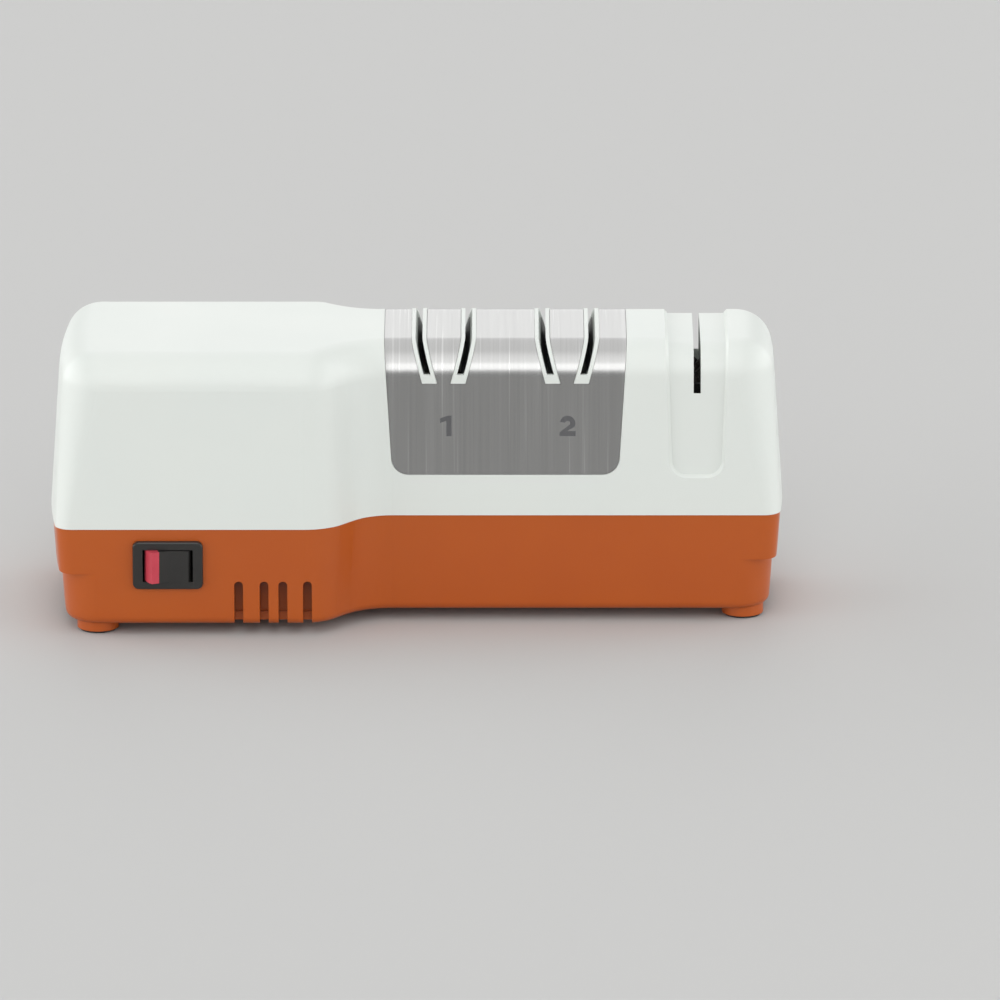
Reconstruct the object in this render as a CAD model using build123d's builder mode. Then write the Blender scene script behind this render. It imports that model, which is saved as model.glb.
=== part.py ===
"""Bench knife sharpener: two powered stages in a steel faceplate and one hand stage.

Millimetres. X runs along the length, Y to the rear and Z up from the table, with the origin on the
table under the middle of the part.
"""

from build123d import *
import os
from math import asin, atan2, cos, degrees, radians, sin, sqrt, tan

os.makedirs("parts", exist_ok=True)

# Outer form
LENGTH = 258.0
DEPTH = 92.0
TOP_Z = 100.6
SEAM_Z = 40.0
UNDERSIDE_Z = 4.3
FRONT_STEP = 17.5
REAR_STEP = 9.5
STEP_TO_PLATE = 55.1
STEP_RADIUS = 17.0
FRONT_STEP_ANGLE = 50.0
REAR_STEP_ANGLE = 38.0
CORNER_RADIUS = 6.0
ROLL_CORNER_MARGIN = 0.8
END_BOW_RADIUS = 350.0
HOUSING_DRAFT = 3.8
BASE_DRAFT = 4.0
TOP_ROUND = 12.0
WALL = 3.0
SEAM_REVEAL = 0.3
LIP_HEIGHT = 3.0
LIP_WALL = 1.5
LIP_GAP = 0.5

# Base
GRIP_HEIGHT = 18.9
GRIP_DEPTH = 1.6
GRIP_CORNER = 12.0
BOTTOM_ROUND = 3.0
FOOT_DIAMETER = 14.6
FOOT_LEFT_INSET = 17.0
FOOT_RIGHT_INSET = 14.1
FOOT_SIDE_INSET = 13.0
PAD_DIAMETER = 12.6
PAD_THICKNESS = 1.2
PAD_RECESS = 0.3
PAD_FIT = 0.1
VENT_WIDTH = 3.1
VENT_HEIGHT = 16.2
VENTS_TO_STEP = (38.4, 29.5, 22.9, 14.3)
BAFFLE_GAP = 4.5
BAFFLE_WALL = 1.5
BAFFLE_HEADROOM = 0.6
BAFFLE_MARGIN = 4.0
END_VENT_YS = (-18.0, -9.0, 0.0, 9.0, 18.0)

# Housing screws
SCREW_DIAMETER = 3.5
SCREW_LENGTH = 26.0
SCREW_HEAD_DIAMETER = 7.0
SCREW_HEAD_HEIGHT = 2.6
SCREW_SEAT_DROP = 14.8
SCREW_CLEARANCE = 0.3
SCREW_BOSS_WALL = 2.0
SCREW_LEFT_INSET = 25.8
SCREW_LEFT_SPAN = 60.0
SCREW_RIGHT_INSET = 11.5
SCREW_RIGHT_SPAN = 16.0

# Faceplate
PLATE_THICKNESS = 0.8
PLATE_GAP = 0.15
PLATE_TO_HAND = 67.2
PLATE_DROP = 45.9
PLATE_REAR_DROP = 24.6
PLATE_SIDE = 1.1
PLATE_TAPER = 3.5
PLATE_CORNER = 6.0

# Powered stages: knife slots in two V pairs
STAGE_PITCH = 43.2
SLOT_DEPTH = 10.3
SLOT_WIDTH = 2.4
SLOT_TILT = 15.5
SLOT_OFFSET = 5.8
RIM_WIDTH = 5.0
RIM_BELOW = 3.0
RIM_PROUD = 0.3
WINDOW_SIDE = 16.9
GUIDE_FIT = 0.1
SILL_DEPTH = 4.0
SILL_HEIGHT = 5.0
SLOT_LEDGE = 1.5
CAP_THICKNESS = 2.6

# Shaft and abrasive discs
SHAFT_DIAMETER = 6.0
SHAFT_INSET = 10.0
SHAFT_OVERHANG = 1.5
DISC_SIDE_GAP = 2.2
DISC_RISE = 1.4
DISC_CLEARANCE = 1.4
DISC_OUTER_X = 6.0
DISC_RIM_X = 4.6
DISC_RIM_THICKNESS = 2.0
DISC_HUB_RADIUS = 8.0
DISC_HUB_THICKNESS = 2.6
SPRING_DIAMETER = 12.0
SPRING_WALL = 1.2
STOP_PIN_DIAMETER = 1.6
STOP_PIN_LENGTH = 13.0
RUNNING_FIT = 0.05
ASSEMBLY_FIT = 0.03

# Motor
MOTOR_INSET = 54.0
CORE_LENGTH = 20.0
CORE_MARGIN = 3.0
CORE_TOP = 22.0
CORE_WEB = 2.5
CORE_LEG = 14.0
CORE_WINDOW_WIDTH = 22.0
CORE_WINDOW_HEIGHT = 12.0
CORE_CORNER = 4.0
ROTOR_DIAMETER = 26.0
ROTOR_GAP = 0.5
COIL_THICKNESS = 5.5
COIL_GAP = 0.3
COIL_CORNER = 3.0
BRACKET_REACH = 16.0
BRACKET_THICKNESS = 2.5
BRACKET_HEIGHT = 16.0
BRACKET_LEG = 7.0
BUSH_DIAMETER = 13.0
BUSH_LENGTH = 9.0
BUSH_SEAT_WALL = 2.5
BUSH_SEAT_LENGTH = 6.0
MOTOR_SCREW_DIAMETER = 3.0
MOTOR_SCREW_HEAD = 5.5
MOTOR_SCREW_HEAD_HEIGHT = 2.2
MOTOR_SCREW_WEB = 1.5
FAN_INSET = 11.0
FAN_DIAMETER = 40.0
FAN_HUB_DIAMETER = 13.0
FAN_LENGTH = 10.0
FAN_PLATE = 1.5
FAN_BLADE = 1.6
FAN_BLADES = 9

# End bearing post
POST_GAP = 8.2
POST_THICKNESS = 6.0
POST_WIDTH = 24.0

# Hand stage
HAND_INSET = 30.6
CHANNEL_BOTTOM_WIDTH = 17.0
CHANNEL_TAPER = 2.0
CHANNEL_DROP = 46.3
CHANNEL_DEPTH = 1.4
CHANNEL_EDGE = 1.0
TOUCHING = 0.01
CHANNEL_CORNER = 5.0
HAND_SLOT_WIDTH = 2.5
HAND_SLOT_DEPTH = 17.25
HAND_RELIEF_MARGIN = 2.0
WHEEL_RADIUS = 8.0
WHEEL_THICKNESS = 2.4
WHEEL_PITCH = 10.0
WHEEL_CLEARANCE = 0.8
WHEEL_HEADROOM = 2.4
WHEEL_FLOOR_GAP = 5.0
WHEEL_AXLE_DIAMETER = 3.0
WHEEL_AXLE_DROP = 4.0
SPACER_WALL = 1.05
SPACER_END = 0.8
CARRIER_THICKNESS = 2.5
CARRIER_EDGE = 3.5
CARRIER_END_GAP = 0.4
PEDESTAL_INSET = 2.0
PEDESTAL_WALL = 2.0

# Switch
SWITCH_INSET = 42.0
SWITCH_DROP = 13.0
BEZEL_WIDTH = 24.6
BEZEL_HEIGHT = 17.6
BEZEL_THICKNESS = 1.8
BEZEL_CORNER = 2.2
BEZEL_EDGE = 0.6
SWITCH_BODY_WALL = 1.4
SWITCH_BODY_DEPTH = 13.0
SWITCH_BODY_FIT = 0.1
ROCKER_OPENING_WIDTH = 17.6
ROCKER_OPENING_HEIGHT = 12.0
ROCKER_CLEARANCE = 0.2
ROCKER_END_CLEARANCE = 0.4
ROCKER_PROUD = 0.4
ROCKER_PIVOT_DEPTH = 2.0
ROCKER_PIVOT_DIAMETER = 2.4
ROCKER_PIVOT_FIT = 0.08
ROCKER_ROOT = 2.6
ROCKER_THROW = 20.0
ROCKER_STRIP_WIDTH = 2.6
ROCKER_STRIP_DEPTH = 5.0

# Cord gland
GLAND_TO_STEP = 34.1
GLAND_DROP = 19.0
GLAND_BORE = 6.6
GLAND_NECK_DIAMETER = 11.0
GLAND_NECK_LENGTH = 6.0
GLAND_FLANGE_DIAMETER = 16.0
GLAND_FLANGE_THICKNESS = 3.0
GLAND_FIT = 0.05

# Places worked out from the sizes above
LEFT_X = -LENGTH / 2
RIGHT_X = LENGTH / 2
LEFT_FRONT_Y = -DEPTH / 2
LEFT_REAR_Y = DEPTH / 2
RIGHT_FRONT_Y = LEFT_FRONT_Y + FRONT_STEP
RIGHT_REAR_Y = LEFT_REAR_Y - REAR_STEP
LEFT_HALF = DEPTH / 2
RIGHT_HALF = (RIGHT_REAR_Y - RIGHT_FRONT_Y) / 2
SHAFT_Y = (RIGHT_FRONT_Y + RIGHT_REAR_Y) / 2
FLOOR_TOP_Z = UNDERSIDE_Z + WALL
GRIP_Z = UNDERSIDE_Z + GRIP_HEIGHT
VENT_TOP_Z = UNDERSIDE_Z + VENT_HEIGHT
SCREW_SEAT_Z = SEAM_Z - SCREW_SEAT_DROP
SWITCH_X = LEFT_X + SWITCH_INSET
SWITCH_Z = SEAM_Z - SWITCH_DROP
GLAND_Z = SEAM_Z - GLAND_DROP
HAND_X = RIGHT_X - HAND_INSET
HAND_FLOOR_Z = TOP_Z - HAND_SLOT_DEPTH
CHANNEL_BOTTOM_Z = TOP_Z - CHANNEL_DROP
PLATE_X = HAND_X - PLATE_TO_HAND
PLATE_BOTTOM_Z = TOP_Z - PLATE_DROP
PLATE_REAR_Z = TOP_Z - PLATE_REAR_DROP
WINDOW_WIDTH = STAGE_PITCH + 2 * WINDOW_SIDE
PLATE_BOTTOM_WIDTH = WINDOW_WIDTH + 2 * PLATE_SIDE
STEP_X = PLATE_X - STEP_TO_PLATE
GLAND_X = STEP_X - GLAND_TO_STEP
STAGE_XS = (PLATE_X - STAGE_PITCH / 2, PLATE_X + STAGE_PITCH / 2)
SLOT_FLOOR_Z = TOP_Z - SLOT_DEPTH
SLOT_FLOOR_INSET = (SLOT_FLOOR_Z - SEAM_Z) * tan(radians(HOUSING_DRAFT))
DISC_RADIUS = RIGHT_HALF - SLOT_FLOOR_INSET - WALL - DISC_SIDE_GAP
SHAFT_Z = SLOT_FLOOR_Z + DISC_RISE - DISC_RADIUS
SHAFT_LEFT_X = LEFT_X + SHAFT_INSET
MOTOR_X = LEFT_X + MOTOR_INSET
FAN_X = LEFT_X + FAN_INSET
WINDOW_LEFT_X = PLATE_X - WINDOW_WIDTH / 2
WINDOW_RIGHT_X = PLATE_X + WINDOW_WIDTH / 2
REACH = 2 * LENGTH
SHAFT_AXIS = Axis((0, SHAFT_Y, SHAFT_Z), (1, 0, 0))
LEFT_BOW_X = LEFT_X + END_BOW_RADIUS
RIGHT_BOW_X = RIGHT_X - END_BOW_RADIUS
ROLL_Z = TOP_Z - TOP_ROUND
SCREW_PLACES = [
    (LEFT_X + SCREW_LEFT_INSET, -SCREW_LEFT_SPAN / 2),
    (LEFT_X + SCREW_LEFT_INSET, SCREW_LEFT_SPAN / 2),
    (RIGHT_X - SCREW_RIGHT_INSET, SHAFT_Y - SCREW_RIGHT_SPAN / 2),
    (RIGHT_X - SCREW_RIGHT_INSET, SHAFT_Y + SCREW_RIGHT_SPAN / 2),
]
FOOT_PLACES = [
    (LEFT_X + FOOT_LEFT_INSET, LEFT_FRONT_Y + FOOT_SIDE_INSET),
    (LEFT_X + FOOT_LEFT_INSET, LEFT_REAR_Y - FOOT_SIDE_INSET),
    (RIGHT_X - FOOT_RIGHT_INSET, RIGHT_FRONT_Y + FOOT_SIDE_INSET),
    (RIGHT_X - FOOT_RIGHT_INSET, RIGHT_REAR_Y - FOOT_SIDE_INSET),
]


def step_span(step, angle):
    """Length along X of an S curve that moves a wall sideways by one step."""
    turn = radians(angle)
    straight = (step - 2 * STEP_RADIUS * (1 - cos(turn))) / sin(turn)
    return 2 * STEP_RADIUS * sin(turn) + straight * cos(turn)


def plan_face(z, inset, corner, end_shift=0.0):
    """Plan of the body at one height, a given inset inside the parting line and with one corner radius."""
    front = step_span(FRONT_STEP, FRONT_STEP_ANGLE) / 2
    rear = step_span(REAR_STEP, REAR_STEP_ANGLE) / 2
    bow = END_BOW_RADIUS - inset
    left_y = LEFT_HALF - inset - corner
    right_y = RIGHT_HALF - inset - corner
    left_run = sqrt((bow - corner) ** 2 - left_y**2)
    right_run = sqrt((bow - corner) ** 2 - right_y**2)
    left_x = LEFT_BOW_X + end_shift - left_run
    right_x = RIGHT_BOW_X - end_shift + right_run
    left_lean = degrees(atan2(left_y, left_run))
    right_lean = degrees(atan2(right_y, right_run))
    outside = STEP_RADIUS - inset
    inside = STEP_RADIUS + inset
    arcs = (
        (left_x, -left_y, corner, 180 + left_lean, 270),
        (STEP_X - front, LEFT_FRONT_Y + STEP_RADIUS, outside, 270, 270 + FRONT_STEP_ANGLE),
        (STEP_X + front, RIGHT_FRONT_Y - STEP_RADIUS, inside, 90 + FRONT_STEP_ANGLE, 90),
        (right_x, SHAFT_Y - right_y, corner, 270, 360 - right_lean),
        (RIGHT_BOW_X - end_shift, SHAFT_Y, bow, -right_lean, right_lean),
        (right_x, SHAFT_Y + right_y, corner, right_lean, 90),
        (STEP_X + rear, RIGHT_REAR_Y + STEP_RADIUS, inside, 270, 270 - REAR_STEP_ANGLE),
        (STEP_X - rear, LEFT_REAR_Y - STEP_RADIUS, outside, 90 - REAR_STEP_ANGLE, 90),
        (left_x, left_y, corner, 90, 180 - left_lean),
        (LEFT_BOW_X + end_shift, 0, bow, 180 - left_lean, 180 + left_lean),
    )
    ends = []
    with BuildSketch(Plane.XY.offset(z)) as plan:
        with BuildLine():
            for x, y, radius, start, stop in arcs:
                turns = [radians(turn) for turn in (start, (start + stop) / 2, stop)]
                points = [(x + radius * cos(turn), y + radius * sin(turn)) for turn in turns]
                ThreePointArc(*points)
                ends.append((points[0], points[2]))
            for here, after in ((0, 1), (1, 2), (2, 3), (5, 6), (6, 7), (7, 8)):
                Line(ends[here][1], ends[after][0])
        make_face()
    return plan.sketch


def housing_inset(z):
    """How far the drafted housing wall stands inside the parting line at one height."""
    return (z - SEAM_Z) * tan(radians(HOUSING_DRAFT))


def base_inset(z):
    """How far the drafted base wall stands inside the parting line at one height."""
    return SEAM_REVEAL + (SEAM_Z - z) * tan(radians(BASE_DRAFT))


def corner_radius(z):
    """Radius of the housing's upright corners, which open upward to meet the roll of the top edge."""
    rise = (z - SEAM_Z) / (ROLL_Z - SEAM_Z)
    return CORNER_RADIUS + rise * (TOP_ROUND + ROLL_CORNER_MARGIN - CORNER_RADIUS)


def drafted(low, low_inset, low_corner, high, high_inset, high_corner, end_shift=0.0):
    """A straight-sided block between two plans of the body."""
    lower = plan_face(low, low_inset, low_corner, end_shift)
    upper = plan_face(high, high_inset, high_corner, end_shift)
    with BuildPart() as block:
        loft(sections=(lower.face(), upper.face()), ruled=True)
    return block.part


def housing_form(inset, low=SEAM_Z):
    """The closed form of the upper housing, offset inward by one inset."""
    top = TOP_Z - inset
    low_inset = housing_inset(low) + inset
    top_inset = housing_inset(top) + inset
    block = drafted(low, low_inset, corner_radius(low) - inset, top, top_inset, corner_radius(top) - inset)
    with BuildPart() as form:
        add(block)
        fillet(form.edges().group_by(Axis.Z)[-1], TOP_ROUND - inset)
    return form.part


def prism(points):
    """A prism right through the part along Y, from an outline in X and Z."""
    with BuildPart() as block:
        with BuildSketch(Plane.XZ):
            with BuildLine():
                Polyline(*points, close=True)
            make_face()
        extrude(amount=REACH, both=True)
    return block.part


def tapered_panel(x, bottom_z, bottom_width, taper, corner, grow=0.0):
    """A prism through the part along Y that widens upward and has two round lower corners."""
    low = bottom_z - grow
    high = TOP_Z + TOP_ROUND
    half = bottom_width / 2 + grow
    top_half = half + (high - low) * tan(radians(taper))
    corners = ((x - half, low), (x + half, low), (x + top_half, high), (x - top_half, high))
    with BuildPart() as block:
        with BuildSketch(Plane.XZ) as panel:
            with BuildLine():
                Polyline(*corners, close=True)
            make_face()
            fillet(panel.vertices().sort_by(Axis.Y)[:2], corner + grow)
        extrude(amount=REACH, both=True)
    return block.part


def tube_x(x, length, outer, bore, y=SHAFT_Y, z=SHAFT_Z):
    """A round tube along X."""
    with BuildPart() as tube:
        with BuildSketch(Plane.YZ.offset(x)):
            with Locations((y, z)):
                Circle(outer / 2)
                Circle(bore / 2, mode=Mode.SUBTRACT)
        extrude(amount=length)
    return tube.part


def finish(piece, name):
    """Names a finished piece and writes it out."""
    piece.label = name
    export_step(piece, f"parts/{name}.step")


# Forms that several pieces share, from the outside inward
proud_form = housing_form(-RIM_PROUD)
outer_form = housing_form(0)
plate_form = housing_form(PLATE_THICKNESS)
seat_form = housing_form(PLATE_THICKNESS + PLATE_GAP)
channel_form = housing_form(CHANNEL_DEPTH)
ledge_form = housing_form(SLOT_LEDGE)
inner_form = housing_form(WALL, SEAM_Z - WALL)

# Leaning edges of the four knife slots, each as its X at the slot floor and its lean
SLOT_LEAN = tan(radians(SLOT_TILT))
SLOTS = [(stage + side * SLOT_OFFSET, side * SLOT_LEAN) for stage in STAGE_XS for side in (-1, 1)]
HALF_SLOT = SLOT_WIDTH / 2 / cos(radians(SLOT_TILT))
HALF_RIM = RIM_WIDTH / 2 / cos(radians(SLOT_TILT))
ABOVE_Z = TOP_Z + TOP_ROUND


def band(left, right, low=SLOT_FLOOR_Z, high=ABOVE_Z):
    """A prism along Y between two leaning edges."""
    corners = [
        (left[0] + left[1] * (low - SLOT_FLOOR_Z), low),
        (right[0] + right[1] * (low - SLOT_FLOOR_Z), low),
        (right[0] + right[1] * (high - SLOT_FLOOR_Z), high),
        (left[0] + left[1] * (high - SLOT_FLOOR_Z), high),
    ]
    return prism(corners)


def slot_band(slot, half, low, high=ABOVE_Z):
    """A prism along Y that follows one knife slot, a given half width to each side."""
    return band((slot[0] - half, slot[1]), (slot[0] + half, slot[1]), low, high)


def hand_half(z):
    """Half the width of the hand stage's channel at one height."""
    return CHANNEL_BOTTOM_WIDTH / 2 + (z - CHANNEL_BOTTOM_Z) * tan(radians(CHANNEL_TAPER))


def hand_block(inner, outer_gap, side, low=HAND_FLOOR_Z, high=ABOVE_Z):
    """A prism along Y on one side of the hand slot, out to the channel's side wall."""
    return prism(
        [
            (HAND_X + side * inner, low),
            (HAND_X + side * (hand_half(low) - outer_gap), low),
            (HAND_X + side * (hand_half(high) - outer_gap), high),
            (HAND_X + side * inner, high),
        ]
    )


# Base: one orange moulding with finger grips in its ends, vents, feet, posts and screw bosses
BOSS_RADIUS = SCREW_HEAD_DIAMETER / 2 + SCREW_CLEARANCE + SCREW_BOSS_WALL
WHEEL_AXLE_Z = HAND_FLOOR_Z - WHEEL_AXLE_DROP
WHEEL_BORE = WHEEL_AXLE_DIAMETER / 2 + RUNNING_FIT
WHEEL_AXLE_SPAN = WHEEL_RADIUS + WHEEL_BORE + SPACER_WALL + WHEEL_CLEARANCE
CARRIER_DROP = WHEEL_RADIUS + WHEEL_FLOOR_GAP + CARRIER_THICKNESS
CARRIER_BOTTOM_Z = WHEEL_AXLE_Z - CARRIER_DROP
CARRIER_HALF_X = WHEEL_AXLE_SPAN / 2 + CARRIER_EDGE
SPACER_HALF = WHEEL_PITCH + WHEEL_THICKNESS / 2 + SPACER_END
CARRIER_HALF_Y = SPACER_HALF + CARRIER_END_GAP + CARRIER_THICKNESS
SWITCH_Y = LEFT_FRONT_Y + base_inset(SWITCH_Z)
DRAFT_COS = cos(radians(BASE_DRAFT))
DRAFT_SIN = sin(radians(BASE_DRAFT))
SWITCH_PLANE = Plane((SWITCH_X, SWITCH_Y, SWITCH_Z), (1, 0, 0), (0, -DRAFT_COS, -DRAFT_SIN))
GLAND_PLANE = Plane(
    (GLAND_X, LEFT_REAR_Y - base_inset(GLAND_Z), GLAND_Z), (-1, 0, 0), (0, DRAFT_COS, -DRAFT_SIN)
)
SCREW_REACH = ROTOR_DIAMETER / 2 + ROTOR_GAP + MOTOR_SCREW_WEB + MOTOR_SCREW_DIAMETER / 2
BRACKET_WIDTH = 2 * SCREW_REACH + BRACKET_LEG
CORE_WIDTH = BRACKET_WIDTH + 2 * CORE_MARGIN
CORE_DROP = ROTOR_DIAMETER / 2 + ROTOR_GAP + CORE_WEB + CORE_WINDOW_HEIGHT + CORE_LEG
CORE_BOTTOM_Z = SHAFT_Z - CORE_DROP
BAFFLE_X = STEP_X - (max(VENTS_TO_STEP) + min(VENTS_TO_STEP)) / 2
BAFFLE_Y = LEFT_FRONT_Y + base_inset(0) + WALL + BAFFLE_GAP
BAFFLE_WIDTH = max(VENTS_TO_STEP) - min(VENTS_TO_STEP) + 2 * BAFFLE_MARGIN
BODY_WIDTH = ROCKER_OPENING_WIDTH + 2 * SWITCH_BODY_WALL
BODY_HEIGHT = ROCKER_OPENING_HEIGHT + 2 * SWITCH_BODY_WALL
BAFFLE_TOP_Z = SWITCH_Z - BODY_HEIGHT / 2 - BAFFLE_HEADROOM

BOTTOM_INSET = base_inset(UNDERSIDE_Z)
GRIP_INSET = base_inset(GRIP_Z)
FLOOR_INSET = base_inset(FLOOR_TOP_Z) + WALL
INNER_CORNER = CORNER_RADIUS - WALL
LIP_TOP_Z = SEAM_Z + LIP_HEIGHT
LIP_INSET = housing_inset(LIP_TOP_Z) + WALL + LIP_GAP
LIP_CORNER = corner_radius(LIP_TOP_Z) - WALL - LIP_GAP
LIP_HOLLOW_INSET = LIP_INSET + LIP_WALL
LIP_HOLLOW_CORNER = LIP_CORNER - LIP_WALL
LIP_LOW_Z = SEAM_Z - WALL
grip_block = drafted(
    UNDERSIDE_Z, BOTTOM_INSET, GRIP_CORNER, GRIP_Z, GRIP_INSET, GRIP_CORNER, GRIP_DEPTH
)
wall_block = drafted(GRIP_Z, GRIP_INSET, CORNER_RADIUS, SEAM_Z, SEAM_REVEAL, CORNER_RADIUS)
lip_block = drafted(LIP_LOW_Z, LIP_INSET, LIP_CORNER, LIP_TOP_Z, LIP_INSET, LIP_CORNER)
lip_hollow = drafted(
    LIP_LOW_Z, LIP_HOLLOW_INSET, LIP_HOLLOW_CORNER, LIP_TOP_Z + WALL, LIP_HOLLOW_INSET, LIP_HOLLOW_CORNER
)
base_cavity = drafted(
    FLOOR_TOP_Z, FLOOR_INSET, GRIP_CORNER - WALL, SEAM_Z, SEAM_REVEAL + WALL, INNER_CORNER, GRIP_DEPTH
)

with BuildPart() as base_hollow:
    add(base_cavity)
    add(lip_hollow)
    for boss_x, boss_y in SCREW_PLACES:
        with BuildSketch(Plane.XY.offset(UNDERSIDE_Z)):
            with Locations((boss_x, boss_y)):
                Circle(BOSS_RADIUS)
        extrude(amount=SEAM_Z - UNDERSIDE_Z, mode=Mode.SUBTRACT)
    with BuildSketch(Plane.XY.offset(UNDERSIDE_Z)):
        for side in (-1, 1):
            with Locations((MOTOR_X, SHAFT_Y + side * (CORE_WIDTH + CORE_WINDOW_WIDTH) / 4)):
                Rectangle(CORE_LENGTH, (CORE_WIDTH - CORE_WINDOW_WIDTH) / 2)
    extrude(amount=CORE_BOTTOM_Z - UNDERSIDE_Z, mode=Mode.SUBTRACT)

with BuildPart() as base:
    add(grip_block)
    fillet(base.edges().group_by(Axis.Z)[0], BOTTOM_ROUND)
    add(wall_block)
    add(lip_block)
    add(base_hollow.part, mode=Mode.SUBTRACT)
    with BuildSketch(Plane.XY.offset(PAD_THICKNESS - PAD_RECESS)):
        with Locations(*FOOT_PLACES):
            Circle(FOOT_DIAMETER / 2)
    extrude(amount=UNDERSIDE_Z + WALL / 2 - PAD_THICKNESS + PAD_RECESS)
    with BuildSketch(Plane.XY.offset(PAD_THICKNESS - PAD_RECESS)):
        with Locations(*FOOT_PLACES):
            Circle(PAD_DIAMETER / 2 + PAD_FIT)
    extrude(amount=PAD_RECESS, mode=Mode.SUBTRACT)
    with BuildSketch(Plane.XZ.offset(-LEFT_FRONT_Y - 2 * WALL - base_inset(0))):
        for to_step in VENTS_TO_STEP:
            with Locations((STEP_X - to_step, VENT_TOP_Z - VENT_WIDTH / 2)):
                Circle(VENT_WIDTH / 2)
                Rectangle(VENT_WIDTH, VENT_TOP_Z, align=(Align.CENTER, Align.MAX))
    extrude(amount=4 * WALL, mode=Mode.SUBTRACT)
    with BuildSketch(Plane.XY.offset(FLOOR_TOP_Z)):
        with Locations((BAFFLE_X, BAFFLE_Y)):
            Rectangle(BAFFLE_WIDTH, BAFFLE_WALL, align=(Align.CENTER, Align.MIN))
    extrude(amount=BAFFLE_TOP_Z - FLOOR_TOP_Z)
    with BuildSketch(Plane.YZ.offset(LEFT_X)):
        for vent_y in END_VENT_YS:
            with Locations((vent_y, VENT_TOP_Z - VENT_WIDTH / 2)):
                Circle(VENT_WIDTH / 2)
                Rectangle(VENT_WIDTH, VENT_TOP_Z, align=(Align.CENTER, Align.MAX))
    extrude(amount=4 * WALL + GRIP_DEPTH, mode=Mode.SUBTRACT)
    with BuildSketch(SWITCH_PLANE):
        Rectangle(BODY_WIDTH + 2 * SWITCH_BODY_FIT, BODY_HEIGHT + 2 * SWITCH_BODY_FIT)
    extrude(amount=2 * WALL, both=True, mode=Mode.SUBTRACT)
    with BuildSketch(GLAND_PLANE):
        Circle(GLAND_NECK_DIAMETER / 2 + GLAND_FIT)
    extrude(amount=2 * WALL, both=True, mode=Mode.SUBTRACT)
    for boss_x, boss_y in SCREW_PLACES:
        with BuildSketch(Plane.XY.offset(UNDERSIDE_Z)):
            with Locations((boss_x, boss_y)):
                Circle(SCREW_HEAD_DIAMETER / 2 + SCREW_CLEARANCE)
        extrude(amount=SCREW_SEAT_Z - UNDERSIDE_Z, mode=Mode.SUBTRACT)
        with BuildSketch(Plane.XY.offset(SCREW_SEAT_Z)):
            with Locations((boss_x, boss_y)):
                Circle(SCREW_DIAMETER / 2 + SCREW_CLEARANCE)
        extrude(amount=SEAM_Z - SCREW_SEAT_Z, mode=Mode.SUBTRACT)
finish(base.part, "base")

with BuildPart() as foot_pads:
    with BuildSketch(Plane.XY):
        with Locations(*FOOT_PLACES):
            Circle(PAD_DIAMETER / 2)
    extrude(amount=PAD_THICKNESS)
finish(foot_pads.part, "foot_pads")

# Upper housing: a drafted white shell with windows for the knife guides and a channel for the hand stage
PILOT_RADIUS = SCREW_DIAMETER / 2 + ASSEMBLY_FIT
PILOT_BOSS_RADIUS = SCREW_DIAMETER / 2 + SCREW_BOSS_WALL
with BuildPart() as housing_hollow:
    add(inner_form)
    for boss_x, boss_y in SCREW_PLACES:
        with BuildSketch(Plane.XY.offset(SEAM_Z)):
            with Locations((boss_x, boss_y)):
                Circle(PILOT_BOSS_RADIUS)
        extrude(amount=TOP_Z - SEAM_Z, mode=Mode.SUBTRACT)
    for floor_z, sill_x, sill_width in (
        (SLOT_FLOOR_Z, PLATE_X, WINDOW_WIDTH),
        (HAND_FLOOR_Z, HAND_X, 2 * hand_half(ABOVE_Z)),
    ):
        sill_y = housing_inset(floor_z) + WALL + SILL_DEPTH
        with BuildSketch(Plane.XY.offset(floor_z - SILL_HEIGHT)):
            with Locations((sill_x, RIGHT_FRONT_Y)):
                Rectangle(sill_width, sill_y, align=(Align.CENTER, Align.MIN))
            with Locations((sill_x, RIGHT_REAR_Y)):
                Rectangle(sill_width, sill_y, align=(Align.CENTER, Align.MAX))
        extrude(amount=SILL_HEIGHT, mode=Mode.SUBTRACT)

with BuildPart() as rear_of_plate:
    with BuildSketch(Plane.XY):
        with Locations((PLATE_X, SHAFT_Y)):
            Rectangle(LENGTH, DEPTH, align=(Align.CENTER, Align.MIN))
    extrude(amount=PLATE_REAR_Z)

plate_panel = tapered_panel(PLATE_X, PLATE_BOTTOM_Z, PLATE_BOTTOM_WIDTH, PLATE_TAPER, PLATE_CORNER)
seat_panel = tapered_panel(
    PLATE_X, PLATE_BOTTOM_Z, PLATE_BOTTOM_WIDTH, PLATE_TAPER, PLATE_CORNER, PLATE_GAP
)
channel_panel = tapered_panel(
    HAND_X, CHANNEL_BOTTOM_Z, CHANNEL_BOTTOM_WIDTH, CHANNEL_TAPER, CHANNEL_CORNER
)
rear_of_seat = Pos(0, 0, -PLATE_GAP) * rear_of_plate.part
rim_bands = [slot_band(slot, HALF_RIM, SLOT_FLOOR_Z - RIM_BELOW, SLOT_FLOOR_Z) for slot in SLOTS]
guide_window = band((WINDOW_LEFT_X, 0), (WINDOW_RIGHT_X, 0))
hand_window = [hand_block(0, 0, side) for side in (-1, 1)]
drop_bands = [slot_band(slot, HALF_SLOT, SLOT_FLOOR_Z - SILL_HEIGHT, SLOT_FLOOR_Z) for slot in SLOTS]
drop_bands.append(slot_band((HAND_X, 0), HAND_SLOT_WIDTH / 2, HAND_FLOOR_Z - SILL_HEIGHT, HAND_FLOOR_Z))

with BuildPart() as plate_seat:
    add(proud_form)
    add(seat_form, mode=Mode.SUBTRACT)
    add(seat_panel, mode=Mode.INTERSECT)
    add(rear_of_seat, mode=Mode.SUBTRACT)

with BuildPart() as rim_pads:
    add(proud_form)
    add(inner_form, mode=Mode.SUBTRACT)
    add(rim_bands, mode=Mode.INTERSECT)

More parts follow.
